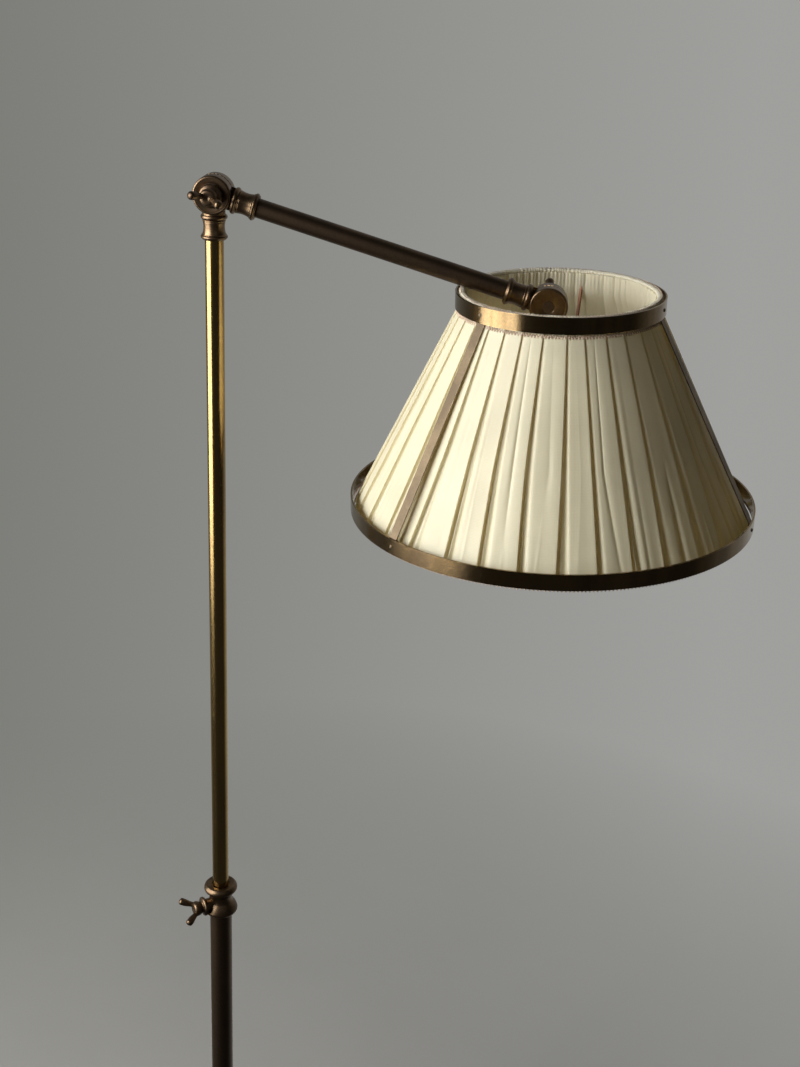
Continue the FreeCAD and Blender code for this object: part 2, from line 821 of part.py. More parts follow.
def slat(azimuth, margin=0.0):
    """Flat strip that carries the bottom hoop from the top hoop, standing off the silk."""
    half = slat_width / 2 + margin
    high = hoop_top - 1.5
    low = shade_bottom + 1.5
    outline = (
        (slat_top_radius, high),
        (slat_top_radius, hoop_bottom),
        (slat_bottom_radius, bottom_hoop_top),
        (slat_bottom_radius, low),
    )
    outer = [V(r, -half, z) for r, z in outline]
    inner = [V(r - slat_strip - margin, -half, z) for r, z in reversed(outline)]
    strip = Part.Face(Part.makePolygon(outer + inner + outer[:1])).extrude(V(0, 2 * half, 0))
    return on_shade(turn(strip, AXIS_Z, azimuth))


def slat_rivets():
    """Small round-headed rivets that hold each slat inside both hoops."""
    rivets = []
    head = turned((0, 0.02), (1.6, 0.02), (1.3, 0.6), (0.7, 0.9), (0, 0.9))
    for azimuth in slat_azimuths.values():
        for hoop_radius, height in (
            (top_hoop_radius, hoop_bottom + hoop_depth / 2),
            (bottom_hoop_radius, shade_bottom + hoop_depth / 2),
        ):
            seat = FreeCAD.Placement(V(hoop_radius, 0, height), FreeCAD.Rotation(AXIS_Y, 90))
            rivets.append(on_shade(turn(moved(head, seat), AXIS_Z, azimuth)))
    return Part.makeCompound(rivets)


def fold_ring(count, radius, depth, height, wander):
    """Corners of knife folds: a short step inwards from each crest, then a long face back out."""
    pitch = 360.0 / count
    corners = []
    for i in range(count):
        drift = wander * pitch * math.sin(2.4 * i + 0.7)
        sink = depth * (1.0 + wander * math.sin(1.7 * i))
        corners.append(polar(radius, i * pitch + drift, height))
        corners.append(polar(radius - sink, (i + fold_step) * pitch + drift / 2, height))
    return corners


def flat_face(*corners):
    return Part.Face(Part.makePolygon([*corners, corners[0]]))


def folded_cone(count, profile):
    """Solid skinned with flat triangles through fold rings, each (radius, height, depth, wander)."""
    rings = [fold_ring(count, radius, depth, height, wander) for radius, height, depth, wander in profile]
    skin = [flat_face(*rings[0]), flat_face(*rings[-1])]
    for upper, lower in zip(rings, rings[1:]):
        for i, corner in enumerate(upper):
            following = (i + 1) % len(upper)
            skin.append(flat_face(corner, lower[i], lower[following]))
            skin.append(flat_face(corner, lower[following], upper[following]))
    return Part.makeSolid(Part.makeShell(skin))


def silk_profile(thickness):
    """Sections of the pleated cover, pulled in by a thickness and lengthened where it is the core."""
    extra = 1.0 if thickness else 0.0
    slope = (silk_bottom_radius - silk_top_radius) / (hoop_bottom - silk_low)
    return (
        (silk_top_radius - thickness, silk_high + extra, top_fold, 0.0),
        (silk_top_radius - thickness, hoop_bottom, top_fold, 0.0),
        (silk_bottom_radius - thickness + slope * extra, silk_low - extra, bottom_fold, fold_wander),
    )


def shade_cover():
    """Silk cover: pressed knife pleats at the top that open into uneven folds at the hem."""
    outside = folded_cone(pleat_count, silk_profile(0.0))
    core = folded_cone(pleat_count, silk_profile(cloth))
    return on_shade(outside.cut(core))


def lining_profile(thickness):
    """Sections of the lining, which hangs down inside the wires."""
    extra = 1.0 if thickness else 0.0
    low = silk_low + 2.0
    slope = (lining_bottom_radius - lining_top_radius) / (hoop_bottom - 3.0 - low)
    return (
        (lining_top_radius - thickness, silk_high + extra, gather_top, 0.0),
        (lining_top_radius - thickness, hoop_bottom - 3.0, gather_top, 0.0),
        (lining_bottom_radius - thickness + slope * extra, low - extra, gather_bottom, 0.0),
    )


def shade_lining():
    """Gathered lining, with a hole where each spoke comes through."""
    outside = folded_cone(gather_count, lining_profile(0.0))
    core = folded_cone(gather_count, lining_profile(lining_cloth))
    holes = [spoke(azimuth, spoke_radius + free_gap) for azimuth in spoke_azimuths]
    return on_shade(outside.cut(core)).cut(holes)


def wire_ring(radius, wire, height):
    """Ring of wire, its round section cut to a few flats."""
    corners = [polar(wire, 360.0 * i / wire_sides, 0) for i in range(wire_sides)]
    return turned(*[(radius + corner.x, height + corner.y) for corner in corners])


def top_wire():
    return on_shade(wire_ring(top_wire_ring, wire_radius, top_wire_height))


def bottom_wire():
    return on_shade(wire_ring(bottom_wire_ring, bottom_wire_radius, bottom_wire_height))


def rib_wires():
    """Six straight wires between the rings, behind the silk."""
    ribs = []
    high = V(top_wire_ring, 0, top_wire_height)
    low = V(bottom_wire_ring, 0, bottom_wire_height)
    knee = V(top_wire_ring, 0, hoop_bottom - 2.0)
    for azimuth in rib_azimuths:
        upper = bar(rib_radius, knee, high - V(0, 0, wire_radius + press_gap))
        lower = bar(rib_radius, knee, low + (knee - low).normalize() * (bottom_wire_radius + press_gap))
        rib = upper.fuse(lower)
        ribs.append(on_shade(turn(rib, AXIS_Z, azimuth)))
    return Part.makeCompound(ribs)


def spoke(azimuth, radius):
    """One wire of the drop fitter, from the top ring down beside the lining and in to the hub."""
    start = polar(top_wire_ring, azimuth, top_wire_height - wire_radius - press_gap) + V(shade_offset, 0, 0)
    hub_point = polar(hub_radius + free_gap / 2, azimuth, spoke_low)
    outward = V(start.x - hub_point.x, start.y - hub_point.y, 0)
    reach = outward.Length
    outward.normalize()
    elbow = hub_point + outward * (reach * 0.70)
    bend = 14.0
    up = (start - elbow).normalize()
    leave = elbow - outward * bend
    join = elbow + up * bend
    middle = (leave + elbow * 2 + join) * 0.25
    path = [hub_point, leave, middle, join, start]
    return on_shade_axis(strand(path, [radius] * len(path), wire_sides, AXIS_Z.cross(outward)))


def spokes():
    return Part.makeCompound([spoke(azimuth, spoke_radius) for azimuth in spoke_azimuths])


def shade_hub():
    """Washer-like hub of the drop fitter, between the lampholder's shoulder and its ring."""
    high = holder_shoulder - free_gap
    return on_shade_axis(ring(hub_radius, skirt_radius + free_gap, high - hub_thickness, high))


def rim_binding():
    """Rolled silk binding over the top edge of cover, wire and lining."""
    low = silk_high + 0.1
    high = hoop_top + rim_rise
    roll = 1.6
    return on_shade(turned((rim_inner_radius, low), (silk_top_radius, low),
                           (silk_top_radius - roll, high), (rim_inner_radius + roll, high)))


def top_braid():
    """Looped braid that shows as a narrow edge under the top hoop."""
    high = hoop_bottom - 0.2
    low = high - braid_width
    slope = (silk_bottom_radius - silk_top_radius) / (hoop_bottom - silk_low)
    proud = 1.1
    braid = on_shade(turned(
        (silk_top_radius + 0.15, high),
        (silk_top_radius + 0.15 + slope * braid_width, low),
        (silk_top_radius + proud + slope * braid_width, low),
        (silk_top_radius + proud, high),
    ))
    return braid.cut([slat(azimuth, free_gap) for azimuth in slat_azimuths.values()])


def bottom_braid():
    """The same braid along the hem, just below the bottom hoop."""
    high = silk_low - 0.1
    return on_shade(ring(silk_bottom_radius + 0.3, silk_bottom_radius - 1.3, high - braid_width, high))


# ================================================================ pieces
pieces = {
    "base_felt": base_felt,
    "base_weight": base_weight,
    "base_cover": base_cover,
    "base_socket": base_socket,
    "base_rod": base_rod,
    "base_washer": base_washer,
    "base_nut": base_nut,
    "tube_plug": tube_plug,
    "cable_grommet": cable_grommet,
    "outer_tube": outer_tube,
    "collar": collar,
    "collar_bush": collar_bush,
    "pressure_pad": pressure_pad,
    "collar_screw": collar_screw,
    "stem_bush": stem_bush,
    "stem_tube": stem_tube,
    "pole_knuckle": pole_knuckle,
    "arm_knuckle_inner": arm_knuckle_inner,
    "arm_tube": arm_tube,
    "arm_knuckle_outer": arm_knuckle_outer,
    "pivot_bolt_upper": pivot_bolt_upper,
    "washer_upper": washer_upper,
    "wing_nut_upper": wing_nut_upper,
    "holder_knuckle": holder_knuckle,
    "pivot_bolt_lower": pivot_bolt_lower,
    "washer_lower": washer_lower,
    "wing_nut_lower": wing_nut_lower,
    "ferrule_insert": ferrule_insert,
    "holder_nipple": holder_nipple,
    "holder_cap": holder_cap,
    "holder_body": holder_body,
    "holder_liner": holder_liner,
    "holder_thread": holder_thread,
    "holder_contact": holder_contact,
    "shade_ring": shade_ring,
    "lamp_cap": lamp_cap,
    "lamp_glass": lamp_glass,
    "shade_hub": shade_hub,
    "spokes": spokes,
    "top_wire": top_wire,
    "bottom_wire": bottom_wire,
    "rib_wires": rib_wires,
    "top_hoop": top_hoop,
    "bottom_hoop": bottom_hoop,
    "slat_rivets": slat_rivets,
    "shade_cover": shade_cover,
    "shade_lining": shade_lining,
    "rim_binding": rim_binding,
    "top_braid": top_braid,
    "bottom_braid": bottom_braid,
}

os.makedirs("parts", exist_ok=True)
for name, build in pieces.items():
    build().exportStep("parts/" + name + ".step")
for name, azimuth in slat_azimuths.items():
    slat(azimuth).exportStep("parts/" + name + ".step")
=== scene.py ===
import math
import random

import bmesh
import bpy
from mathutils import Matrix, Vector

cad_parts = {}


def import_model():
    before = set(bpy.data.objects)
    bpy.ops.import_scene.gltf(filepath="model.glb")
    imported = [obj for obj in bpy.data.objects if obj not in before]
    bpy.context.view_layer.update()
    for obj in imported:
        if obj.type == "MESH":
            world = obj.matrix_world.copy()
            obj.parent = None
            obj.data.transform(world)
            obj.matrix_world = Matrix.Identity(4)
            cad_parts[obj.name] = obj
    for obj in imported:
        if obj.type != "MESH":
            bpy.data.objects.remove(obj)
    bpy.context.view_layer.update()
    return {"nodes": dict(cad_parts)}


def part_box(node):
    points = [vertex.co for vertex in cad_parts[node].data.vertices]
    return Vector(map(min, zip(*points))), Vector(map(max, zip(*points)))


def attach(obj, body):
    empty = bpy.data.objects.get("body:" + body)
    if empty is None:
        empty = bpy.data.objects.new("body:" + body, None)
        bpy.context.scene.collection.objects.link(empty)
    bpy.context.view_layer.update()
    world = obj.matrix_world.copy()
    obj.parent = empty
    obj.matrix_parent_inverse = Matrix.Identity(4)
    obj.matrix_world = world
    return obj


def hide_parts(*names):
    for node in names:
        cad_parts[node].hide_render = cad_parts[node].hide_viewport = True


# Looks for the bridge floor lamp. Metres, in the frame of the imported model: the origin is under the
# foot's centre, +Z is up and the arm lies along +X.

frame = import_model()
nodes = frame["nodes"]

MM = 0.001


# ================================================================ places, from the frame
def middle(node):
    low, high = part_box(node)
    return (low + high) / 2


def half_depth(node):
    """Half of a node's size along Y, which the shade's tilt about Y leaves as it is."""
    low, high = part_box(node)
    return (high.y - low.y) / 2


hoop_depth = 13.5 * MM
top_centre = middle("top_hoop")
bottom_centre = middle("bottom_hoop")
shade_axis = (top_centre - bottom_centre).normalized()
shade_drop = (top_centre - bottom_centre).length          # hoop to hoop, middle to middle
shade_side = Vector((0, 1, 0)).cross(shade_axis).normalized()
to_shade = Matrix((
    (shade_side.x, 0, shade_axis.x, top_centre.x),
    (shade_side.y, 1, shade_axis.y, top_centre.y),
    (shade_side.z, 0, shade_axis.z, top_centre.z),
    (0, 0, 0, 1),
))                                                        # heights count from the top hoop's middle
top_radius = half_depth("top_hoop")
bottom_radius = half_depth("bottom_hoop")


AXIS_Y = Vector((0, 1, 0))
AXIS_Z = Vector((0, 0, 1))


def pin_of(washer):
    """The middle of a knuckle, on the plane where its halves meet."""
    place = middle(washer)
    return Vector((place.x, 0, place.z))


upper_pin = pin_of("washer_upper")
lower_pin = pin_of("washer_lower")
arm_direction = (lower_pin - upper_pin).normalized()


def axes_at(origin, z_axis, y_axis):
    """A place with its own axes; the X axis is square to both."""
    x_axis = y_axis.cross(z_axis).normalized()
    y_axis = z_axis.cross(x_axis)
    place = Matrix((x_axis, y_axis, z_axis)).transposed().to_4x4()
    place.translation = origin
    return place


def at_shade(radius, azimuth, height):
    """A point round the shade's axis."""
    return to_shade @ Vector((radius * math.cos(azimuth), radius * math.sin(azimuth), height))


# ================================================================ meshes
def new_mesh(name, points, faces, smooth=True):
    mesh = bpy.data.meshes.new(name)
    mesh.from_pydata(points, [], faces)
    mesh.update()
    for polygon in mesh.polygons:
        polygon.use_smooth = smooth
    piece = bpy.data.objects.new(name, mesh)
    bpy.context.scene.collection.objects.link(piece)
    return piece


def grid_faces(rows, columns, closed):
    """Faces of a grid of points; with closed, its last column joins the first."""
    faces = []
    for row in range(rows - 1):
        for column in range(columns if closed else columns - 1):
            following = (column + 1) % columns
            faces.append((row * columns + column, (row + 1) * columns + column,
                          (row + 1) * columns + following, row * columns + following))
    return faces


def lay_flat(piece, columns, widths, heights, closed):
    """UV map in metres of flat cloth, so that a weave keeps its scale."""
    layer = piece.data.uv_layers.new(name="Cloth")
    for polygon in piece.data.polygons:
        across = [piece.data.loops[i].vertex_index % columns for i in polygon.loop_indices]
        seam = closed and max(across) - min(across) > 1
        for loop_index, column in zip(polygon.loop_indices, across):
            vertex = piece.data.loops[loop_index].vertex_index
            along = widths[-1] if seam and column == 0 else widths[column]
            layer.data[loop_index].uv = (along, heights[vertex // columns])


def tube(name, path, radius, sides=8, closed=True):
    """A round cord along a path of points."""
    points = []
    count = len(path)
    for i, here in enumerate(path):
        before = path[i - 1] if closed or i else here
        after = path[(i + 1) % count] if closed or i < count - 1 else here
        along = (after - before).normalized()
        across = along.cross(shade_axis)
        if across.length < 0.2:
            across = along.cross(shade_side)
        across.normalize()
        over = across.cross(along)
        for k in range(sides):
            angle = 2 * math.pi * k / sides
            points.append(here + (across * math.cos(angle) + over * math.sin(angle)) * radius)
    faces = []
    for i in range(count if closed else count - 1):
        for k in range(sides):
            a, b = i * sides + k, i * sides + (k + 1) % sides
            c, d = (i + 1) % count * sides + (k + 1) % sides, (i + 1) % count * sides + k
            faces.append((a, b, c, d))
    return new_mesh(name, points, faces)


def arc_points(start, through, end, steps=8):
    """Points after the start on the circle through three (radius, height) points."""
    (ax, ay), (bx, by), (cx, cy) = start, through, end
    twice = 2 * (ax * (by - cy) + bx * (cy - ay) + cx * (ay - by))
    a, b, c = ax * ax + ay * ay, bx * bx + by * by, cx * cx + cy * cy
    x = (a * (by - cy) + b * (cy - ay) + c * (ay - by)) / twice
    y = (a * (cx - bx) + b * (ax - cx) + c * (bx - ax)) / twice
    radius = math.hypot(ax - x, ay - y)
    first, passed, last = (math.atan2(q - y, p - x) for p, q in (start, through, end))
    sweep = (last - first) % (2 * math.pi)
    if (passed - first) % (2 * math.pi) > sweep:
        sweep -= 2 * math.pi
    points = []
    for k in range(1, steps + 1):
        angle = first + sweep * k / steps
        points.append((x + radius * math.cos(angle), y + radius * math.sin(angle)))
    return points


def outline(*path):
    """An outline to turn, in millimetres; a step of two points is an arc through both."""
    points = [path[0]]
    for step in path[1:]:
        if isinstance(step[0], tuple):
            points += arc_points(points[-1], *step)
        else:
            points.append(step)
    return [(radius * MM, height * MM) for radius, height in points]


def circle(steps):
    """Cosines and sines of evenly spaced angles, once round."""
    angles = [2 * math.pi * k / steps for k in range(steps)]
    return [(math.cos(angle), math.sin(angle)) for angle in angles]


class Shape:
    """One piece, built up form by form in the axes of its place."""

    def __init__(self, place):
        self.place = place
        self.points = []
        self.faces = []

    def skin(self, rows):
        """A surface over rows of points, each row closed on itself."""
        start, columns = len(self.points), len(rows[0])
        self.points += [self.place @ point for row in rows for point in row]
        for face in grid_faces(len(rows), columns, True):
            self.faces.append(tuple(start + i for i in face))

    def lathe(self, line, tilt=Matrix.Identity(3), segments=96):
        """Turn a line of (radius, height) about the Z axis, or about where tilt brings it."""
        self.skin([[tilt @ Vector((radius * c, radius * s, height)) for c, s in circle(segments)]
                   for radius, height in line])

    def horn(self, path, radii, sides=20):
        """A round bar of changing thickness along a path in the XZ plane."""
        rows = []
        for i, here in enumerate(path):
            along = (path[min(i + 1, len(path) - 1)] - path[max(i - 1, 0)]).normalized()
            across = along.cross(AXIS_Y)
            rows.append([here + (AXIS_Y * c + across * s) * radii[i] for c, s in circle(sides)])
        self.skin(rows)

    def finish(self, name, sharp=38):
        """Weld the seams and the closed ends, and keep only the sharp edges unsmoothed."""
        piece = new_mesh(name, self.points, self.faces)
        work = bmesh.new()
        work.from_mesh(piece.data)
        bmesh.ops.remove_doubles(work, verts=work.verts, dist=0.002 * MM)
        bmesh.ops.dissolve_degenerate(work, edges=work.edges, dist=0.001 * MM)
        bmesh.ops.recalc_face_normals(work, faces=work.faces)
        work.to_mesh(piece.data)
        work.free()
        piece.data.set_sharp_from_angle(angle=math.radians(sharp))
        return piece


def finish_piece(piece, body, material, slot, *stands_for):
    piece.data.materials.append(material)
    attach(piece, body)
    if stands_for:
        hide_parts(*stands_for)
    return piece


# ================================================================ materials
class Nodes:
    """A material's node tree, with short ways to add and join nodes."""

    def __init__(self, owner):
        owner.use_nodes = True
        self.material = owner
        self.tree = owner.node_tree
        self.shader = self.tree.nodes.get("Principled BSDF")
        self.output = self.tree.nodes.get("Material Output")

    def add(self, kind, **settings):
        node = self.tree.nodes.new("ShaderNode" + kind)
        for key, value in settings.items():
            setattr(node, key, value)
        return node

    def join(self, source, target):
        self.tree.links.new(source, target)

    def coordinates(self, stretch=(1, 1, 1), output="Object"):
        place = self.add("TexCoord")
        mapping = self.add("Mapping")
        mapping.inputs["Scale"].default_value = stretch
        self.join(place.outputs[output], mapping.inputs["Vector"])
        return mapping.outputs["Vector"]

    def noise(self, vector, scale, detail=3.0, roughness=0.55):
        node = self.add("TexNoise")
        node.inputs["Scale"].default_value = scale
        node.inputs["Detail"].default_value = detail
        node.inputs["Roughness"].default_value = roughness
        self.join(vector, node.inputs["Vector"])
        return node.outputs["Fac"]

    def ramp(self, value, low, high, to_low=0.0, to_high=1.0):
        node = self.add("MapRange")
        node.inputs["From Min"].default_value = low
        node.inputs["From Max"].default_value = high
        node.inputs["To Min"].default_value = to_low
        node.inputs["To Max"].default_value = to_high
        self.join(value, node.inputs["Value"])
        return node.outputs["Result"]

    def mix(self, factor, first, second):
        """A colour between two, each a colour or a socket."""
        node = self.add("Mix", data_type="RGBA")
        self.join(factor, node.inputs["Factor"])
        for socket, value in ((node.inputs["A"], first), (node.inputs["B"], second)):
            if isinstance(value, tuple):
                socket.default_value = (*value, 1.0)
            else:
                self.join(value, socket)
        return node.outputs["Result"]

    def math(self, operation, first, second):
        node = self.add("Math", operation=operation)
        for socket, value in zip(node.inputs, (first, second)):
            if isinstance(value, (int, float)):
                socket.default_value = value
            else:
                self.join(value, socket)
        return node.outputs[0]

    def edges(self, radius):
        """How sharply the surface turns, from 0 on a flat to 1 on an edge."""
        bevel = self.add("Bevel", samples=4)
        bevel.inputs["Radius"].default_value = radius
        geometry = self.add("NewGeometry")
        dot = self.add("VectorMath", operation="DOT_PRODUCT")
        self.join(bevel.outputs["Normal"], dot.inputs[0])
        self.join(geometry.outputs["Normal"], dot.inputs[1])
        return self.ramp(dot.outputs["Value"], 0.995, 0.86)

    def bump(self, height, distance, strength=1.0, normal=None):
        node = self.add("Bump")
        node.inputs["Distance"].default_value = distance
        node.inputs["Strength"].default_value = strength
        self.join(height, node.inputs["Height"])
        if normal is not None:
            self.join(normal, node.inputs["Normal"])
        return node.outputs["Normal"]


def new_material(name):
    return Nodes(bpy.data.materials.new(name))


def aged_brass(name, metal, patina, cover, worn, shine, streak=(1, 1, 1), ripple=0.0):
    """Old brass: patina in soft clouds over bare metal, rubbed bright along its edges.

    cover is how much of the metal the patina hides, shine the roughness from bare to covered.
    """
    n = new_material(name)
    place = n.coordinates(streak)
    clouds = n.noise(place, 38.0, 5.0, 0.62)
    specks = n.noise(n.coordinates(), 420.0, 4.0, 0.7)
    mottle = n.math("ADD", n.ramp(clouds, 0.32, 0.68, -0.34, 0.34),
                    n.ramp(specks, 0.3, 0.7, -0.16, 0.16))
    handled = n.ramp(n.noise(n.coordinates(), 70.0, 3.0, 0.6), 0.40, 0.66, 0.12, 0.85)
    rubbed = n.math("MULTIPLY", n.edges(0.55 * MM), handled)
    hidden = n.math("SUBTRACT", n.math("ADD", mottle, cover), rubbed)
    hidden = n.ramp(hidden, 0.0, 1.0)
    base = n.mix(hidden, metal, patina)
    n.join(n.mix(rubbed, base, worn), n.shader.inputs["Base Color"])
    n.join(n.ramp(hidden, 0.0, 1.0, *shine), n.shader.inputs["Roughness"])
    n.shader.inputs["Metallic"].default_value = 1.0
    relief = n.bump(specks, 0.05 * MM)
    if ripple:
        slow = n.noise(place, 24.0, 1.0, 0.4)
        relief = n.bump(slow, ripple, normal=relief)
    n.join(relief, n.shader.inputs["Normal"])
    return n.material


def silk(name, colour, glow, translucence, weave_scale):
    """Woven silk that lets some light through."""
    n = new_material(name)
    cloth = n.coordinates(output="UV")
    slub = n.noise(n.coordinates((90.0, 1900.0, 1.0), "UV"), 1.0, 3.0, 0.6)
    tint = n.noise(n.coordinates(), 22.0, 3.0, 0.5)
    pale = tuple(min(1.0, c * 1.05) for c in colour)
    deep = tuple(c * 0.93 for c in colour)
    shade = n.mix(n.ramp(tint, 0.3, 0.7), deep, pale)
    shade = n.mix(n.ramp(slub, 0.42, 0.62, 0.0, 0.16), shade, tuple(c * 0.86 for c in colour))
    n.join(shade, n.shader.inputs["Base Color"])
    n.shader.inputs["Roughness"].default_value = 0.44
    n.shader.inputs["Sheen Weight"].default_value = 0.10
    n.shader.inputs["Sheen Roughness"].default_value = 0.4
    n.shader.inputs["Specular IOR Level"].default_value = 0.36
    warp = n.add("TexWave", wave_type="BANDS", bands_direction="X")
    weft = n.add("TexWave", wave_type="BANDS", bands_direction="Y")
    for wave in (warp, weft):
        wave.inputs["Scale"].default_value = weave_scale
        n.join(cloth, wave.inputs["Vector"])
    threads = n.math("ADD", warp.outputs["Fac"], weft.outputs["Fac"])
    relief = n.bump(threads, 0.03 * MM, 0.6)
    relief = n.bump(slub, 0.05 * MM, 0.7, relief)
    n.join(relief, n.shader.inputs["Normal"])
    through = n.add("BsdfTranslucent")
    through.inputs["Color"].default_value = (*glow, 1.0)
    n.join(relief, through.inputs["Normal"])
    blend = n.add("MixShader")
    blend.inputs["Fac"].default_value = translucence
    n.join(n.shader.outputs[0], blend.inputs[1])
    n.join(through.outputs[0], blend.inputs[2])
    n.join(blend.outputs[0], n.output.inputs["Surface"])
    return n.material


def plain(name, colour, roughness, metallic=0.0, grain=300.0, relief=0.05, mottle=0.12):
    """A quiet material with a little mottle and relief."""
    n = new_material(name)
    spots = n.noise(n.coordinates(), grain, 4.0, 0.6)
    low = tuple(c * (1 - mottle) for c in colour)
    high = tuple(min(1.0, c * (1 + mottle)) for c in colour)
    n.join(n.mix(n.ramp(spots, 0.3, 0.7), low, high), n.shader.inputs["Base Color"])
    dull = n.ramp(spots, 0.3, 0.7, roughness * 0.85, min(1.0, roughness * 1.15))
    n.join(dull, n.shader.inputs["Roughness"])
    n.shader.inputs["Metallic"].default_value = metallic
    n.join(n.bump(spots, relief * MM), n.shader.inputs["Normal"])
    return n.material


stem_brass = aged_brass("stem_brass", metal=(0.58, 0.40, 0.15), patina=(0.24, 0.155, 0.068),
                        cover=0.42, worn=(0.78, 0.55, 0.22), shine=(0.13, 0.27),
                        streak=(1, 1, 0.2))
bronze = aged_brass("bronze", metal=(0.30, 0.20, 0.11), patina=(0.105, 0.070, 0.045),
                    cover=0.76, worn=(0.60, 0.42, 0.24), shine=(0.22, 0.40))
tube_bronze = aged_brass("tube_bronze", metal=(0.17, 0.115, 0.068), patina=(0.080, 0.054, 0.037),
                         cover=0.74, worn=(0.42, 0.30, 0.18), shine=(0.30, 0.44),
                         streak=(1, 1, 0.3))
hoop_brass = aged_brass("hoop_brass", metal=(0.33, 0.225, 0.105), patina=(0.125, 0.085, 0.048),
                        cover=0.62, worn=(0.62, 0.47, 0.29), shine=(0.09, 0.20),
                        streak=(1, 1, 0.12), ripple=0.4 * MM)
slat_brass = aged_brass("slat_brass", metal=(0.27, 0.205, 0.13), patina=(0.165, 0.125, 0.085),
                        cover=0.80, worn=(0.78, 0.66, 0.48), shine=(0.42, 0.55))
dark_steel = plain("dark_steel", (0.16, 0.12, 0.10), 0.38, 1.0)
silk_cloth = silk("silk_cloth", (0.84, 0.80, 0.61), (0.93, 0.76, 0.36), 0.27, 300.0)
lining_cloth = silk("lining_cloth", (0.84, 0.80, 0.64), (0.93, 0.80, 0.48), 0.30, 300.0)
binding_cloth = silk("binding_cloth", (0.82, 0.77, 0.62), (0.90, 0.78, 0.52), 0.12, 220.0)
braid_thread = plain("braid_thread", (0.56, 0.42, 0.32), 0.8, 0.0, 900.0, 0.1, 0.2)
felt = plain("felt", (0.035, 0.045, 0.036), 0.95, 0.0, 900.0, 0.4, 0.3)
iron = plain("iron", (0.06, 0.06, 0.06), 0.7, 0.4, 200.0, 0.3)
rubber = plain("rubber", (0.03, 0.03, 0.03), 0.7)
porcelain = plain("porcelain", (0.86, 0.85, 0.80), 0.18, 0.0, 60.0, 0.01, 0.03)
lamp_metal = plain("lamp_metal", (0.72, 0.71, 0.69), 0.25, 1.0)
enamel = plain("enamel", (0.74, 0.72, 0.66), 0.4)
spoke_paint = plain("spoke_paint", (0.22, 0.10, 0.06), 0.42, 0.6)


def frosted_glass():
    n = new_material("frosted_glass")
    cloud = n.noise(n.coordinates(), 60.0, 2.0)
    frost = n.mix(n.ramp(cloud, 0.3, 0.7), (0.93, 0.92, 0.88), (0.97, 0.96, 0.93))
    n.join(frost, n.shader.inputs["Base Color"])
    n.shader.inputs["Roughness"].default_value = 0.32
    n.shader.inputs["Transmission Weight"].default_value = 0.35
    n.shader.inputs["Coat Weight"].default_value = 0.3
    return n.material


lamp_frost = frosted_glass()

node_looks = (
    (felt, "base_felt"),
    (iron, "base_weight"),
    (tube_bronze, "base_cover base_socket outer_tube arm_tube"),
    (dark_steel, "base_rod base_washer base_nut tube_plug "
                 "pivot_bolt_upper washer_upper pivot_bolt_lower washer_lower"),
    (rubber, "cable_grommet"),
    (bronze, "collar collar_screw pole_knuckle arm_knuckle_inner arm_knuckle_outer "
             "holder_knuckle wing_nut_upper wing_nut_lower holder_cap holder_body "
             "shade_ring shade_hub"),
    (stem_brass, "collar_bush pressure_pad stem_bush stem_tube ferrule_insert holder_nipple "
                 "holder_thread holder_contact"),
    (porcelain, "holder_liner"),
    (lamp_metal, "lamp_cap"),
    (lamp_frost, "lamp_glass"),
    (spoke_paint, "spokes"),
    (enamel, "top_wire bottom_wire rib_wires"),
    (hoop_brass, "top_hoop bottom_hoop"),
    (slat_brass, "slat_front slat_side slat_rear slat_rivets"),
    (silk_cloth, "shade_cover"),
    (lining_cloth, "shade_lining"),
    (binding_cloth, "rim_binding"),
    (braid_thread, "top_braid bottom_braid"),
)
smooth_to = math.radians(50)
for look, names in node_looks:
    for name in names.split():
        mesh = nodes[name].data
        mesh.materials.clear()
        mesh.materials.append(look)
        for polygon in mesh.polygons:
            polygon.use_smooth = True
        mesh.set_sharp_from_angle(angle=smooth_to)


# ================================================================ silk
pleats = 33
band_high = hoop_depth / 2 - 0.9 * MM         # top edge of the silk, from the top hoop's middle
band_low = -hoop_depth / 2                    # where the pleats start to spread
hem_low = -shade_drop - hoop_depth / 2 + 0.6 * MM
silk_top = top_radius - 2.9 * MM              # radius of the pleats' outer edges
silk_hem = bottom_radius - 2.7 * MM

# One pleat's section at three heights, as (share of the pitch, depth in millimetres): pressed
# flat under the top hoop, half open, and open at the hem. From the valley a lip rises to the
# face, which has a crease, and the face ends in a crisp fold over the next valley, in which a
# smaller fold rises towards the hem.
PRESSED = (
    (0.000, 1.30), (0.050, 1.10), (0.120, 0.82), (0.220, 0.64), (0.400, 0.50),
    (0.440, 0.47), (0.480, 0.44), (0.760, 0.18), (0.950, 0.00), (0.978, 0.25),
    (0.965, 0.80), (0.972, 1.20), (0.980, 1.32), (0.987, 1.34), (0.994, 1.34),
)
HALF_OPEN = (
    (0.020, 3.70), (0.055, 2.40), (0.105, 1.15), (0.200, 0.55), (0.360, 0.85),
    (0.430, 1.45), (0.490, 0.75), (0.710, 0.32), (0.845, 0.00), (0.872, 0.32),
    (0.862, 1.50), (0.870, 2.90), (0.895, 3.60), (0.935, 3.75), (0.980, 3.85),
)
OPENED = (
    (0.030, 5.10), (0.070, 3.20), (0.125, 1.50), (0.215, 0.60), (0.360, 1.00),
    (0.440, 2.80), (0.505, 0.80), (0.680, 0.45), (0.815, 0.00), (0.842, 0.36),
    (0.832, 1.90), (0.842, 3.90), (0.880, 4.80), (0.930, 2.40), (0.985, 4.90),
)
LIP, CREASE, SWELL, FOLD, UNDER, RIDGE = 3, 5, 7, 8, 10, 13      # places in a section
HALF_WAY = 0.55                               # share of the skirt where a pleat is half open
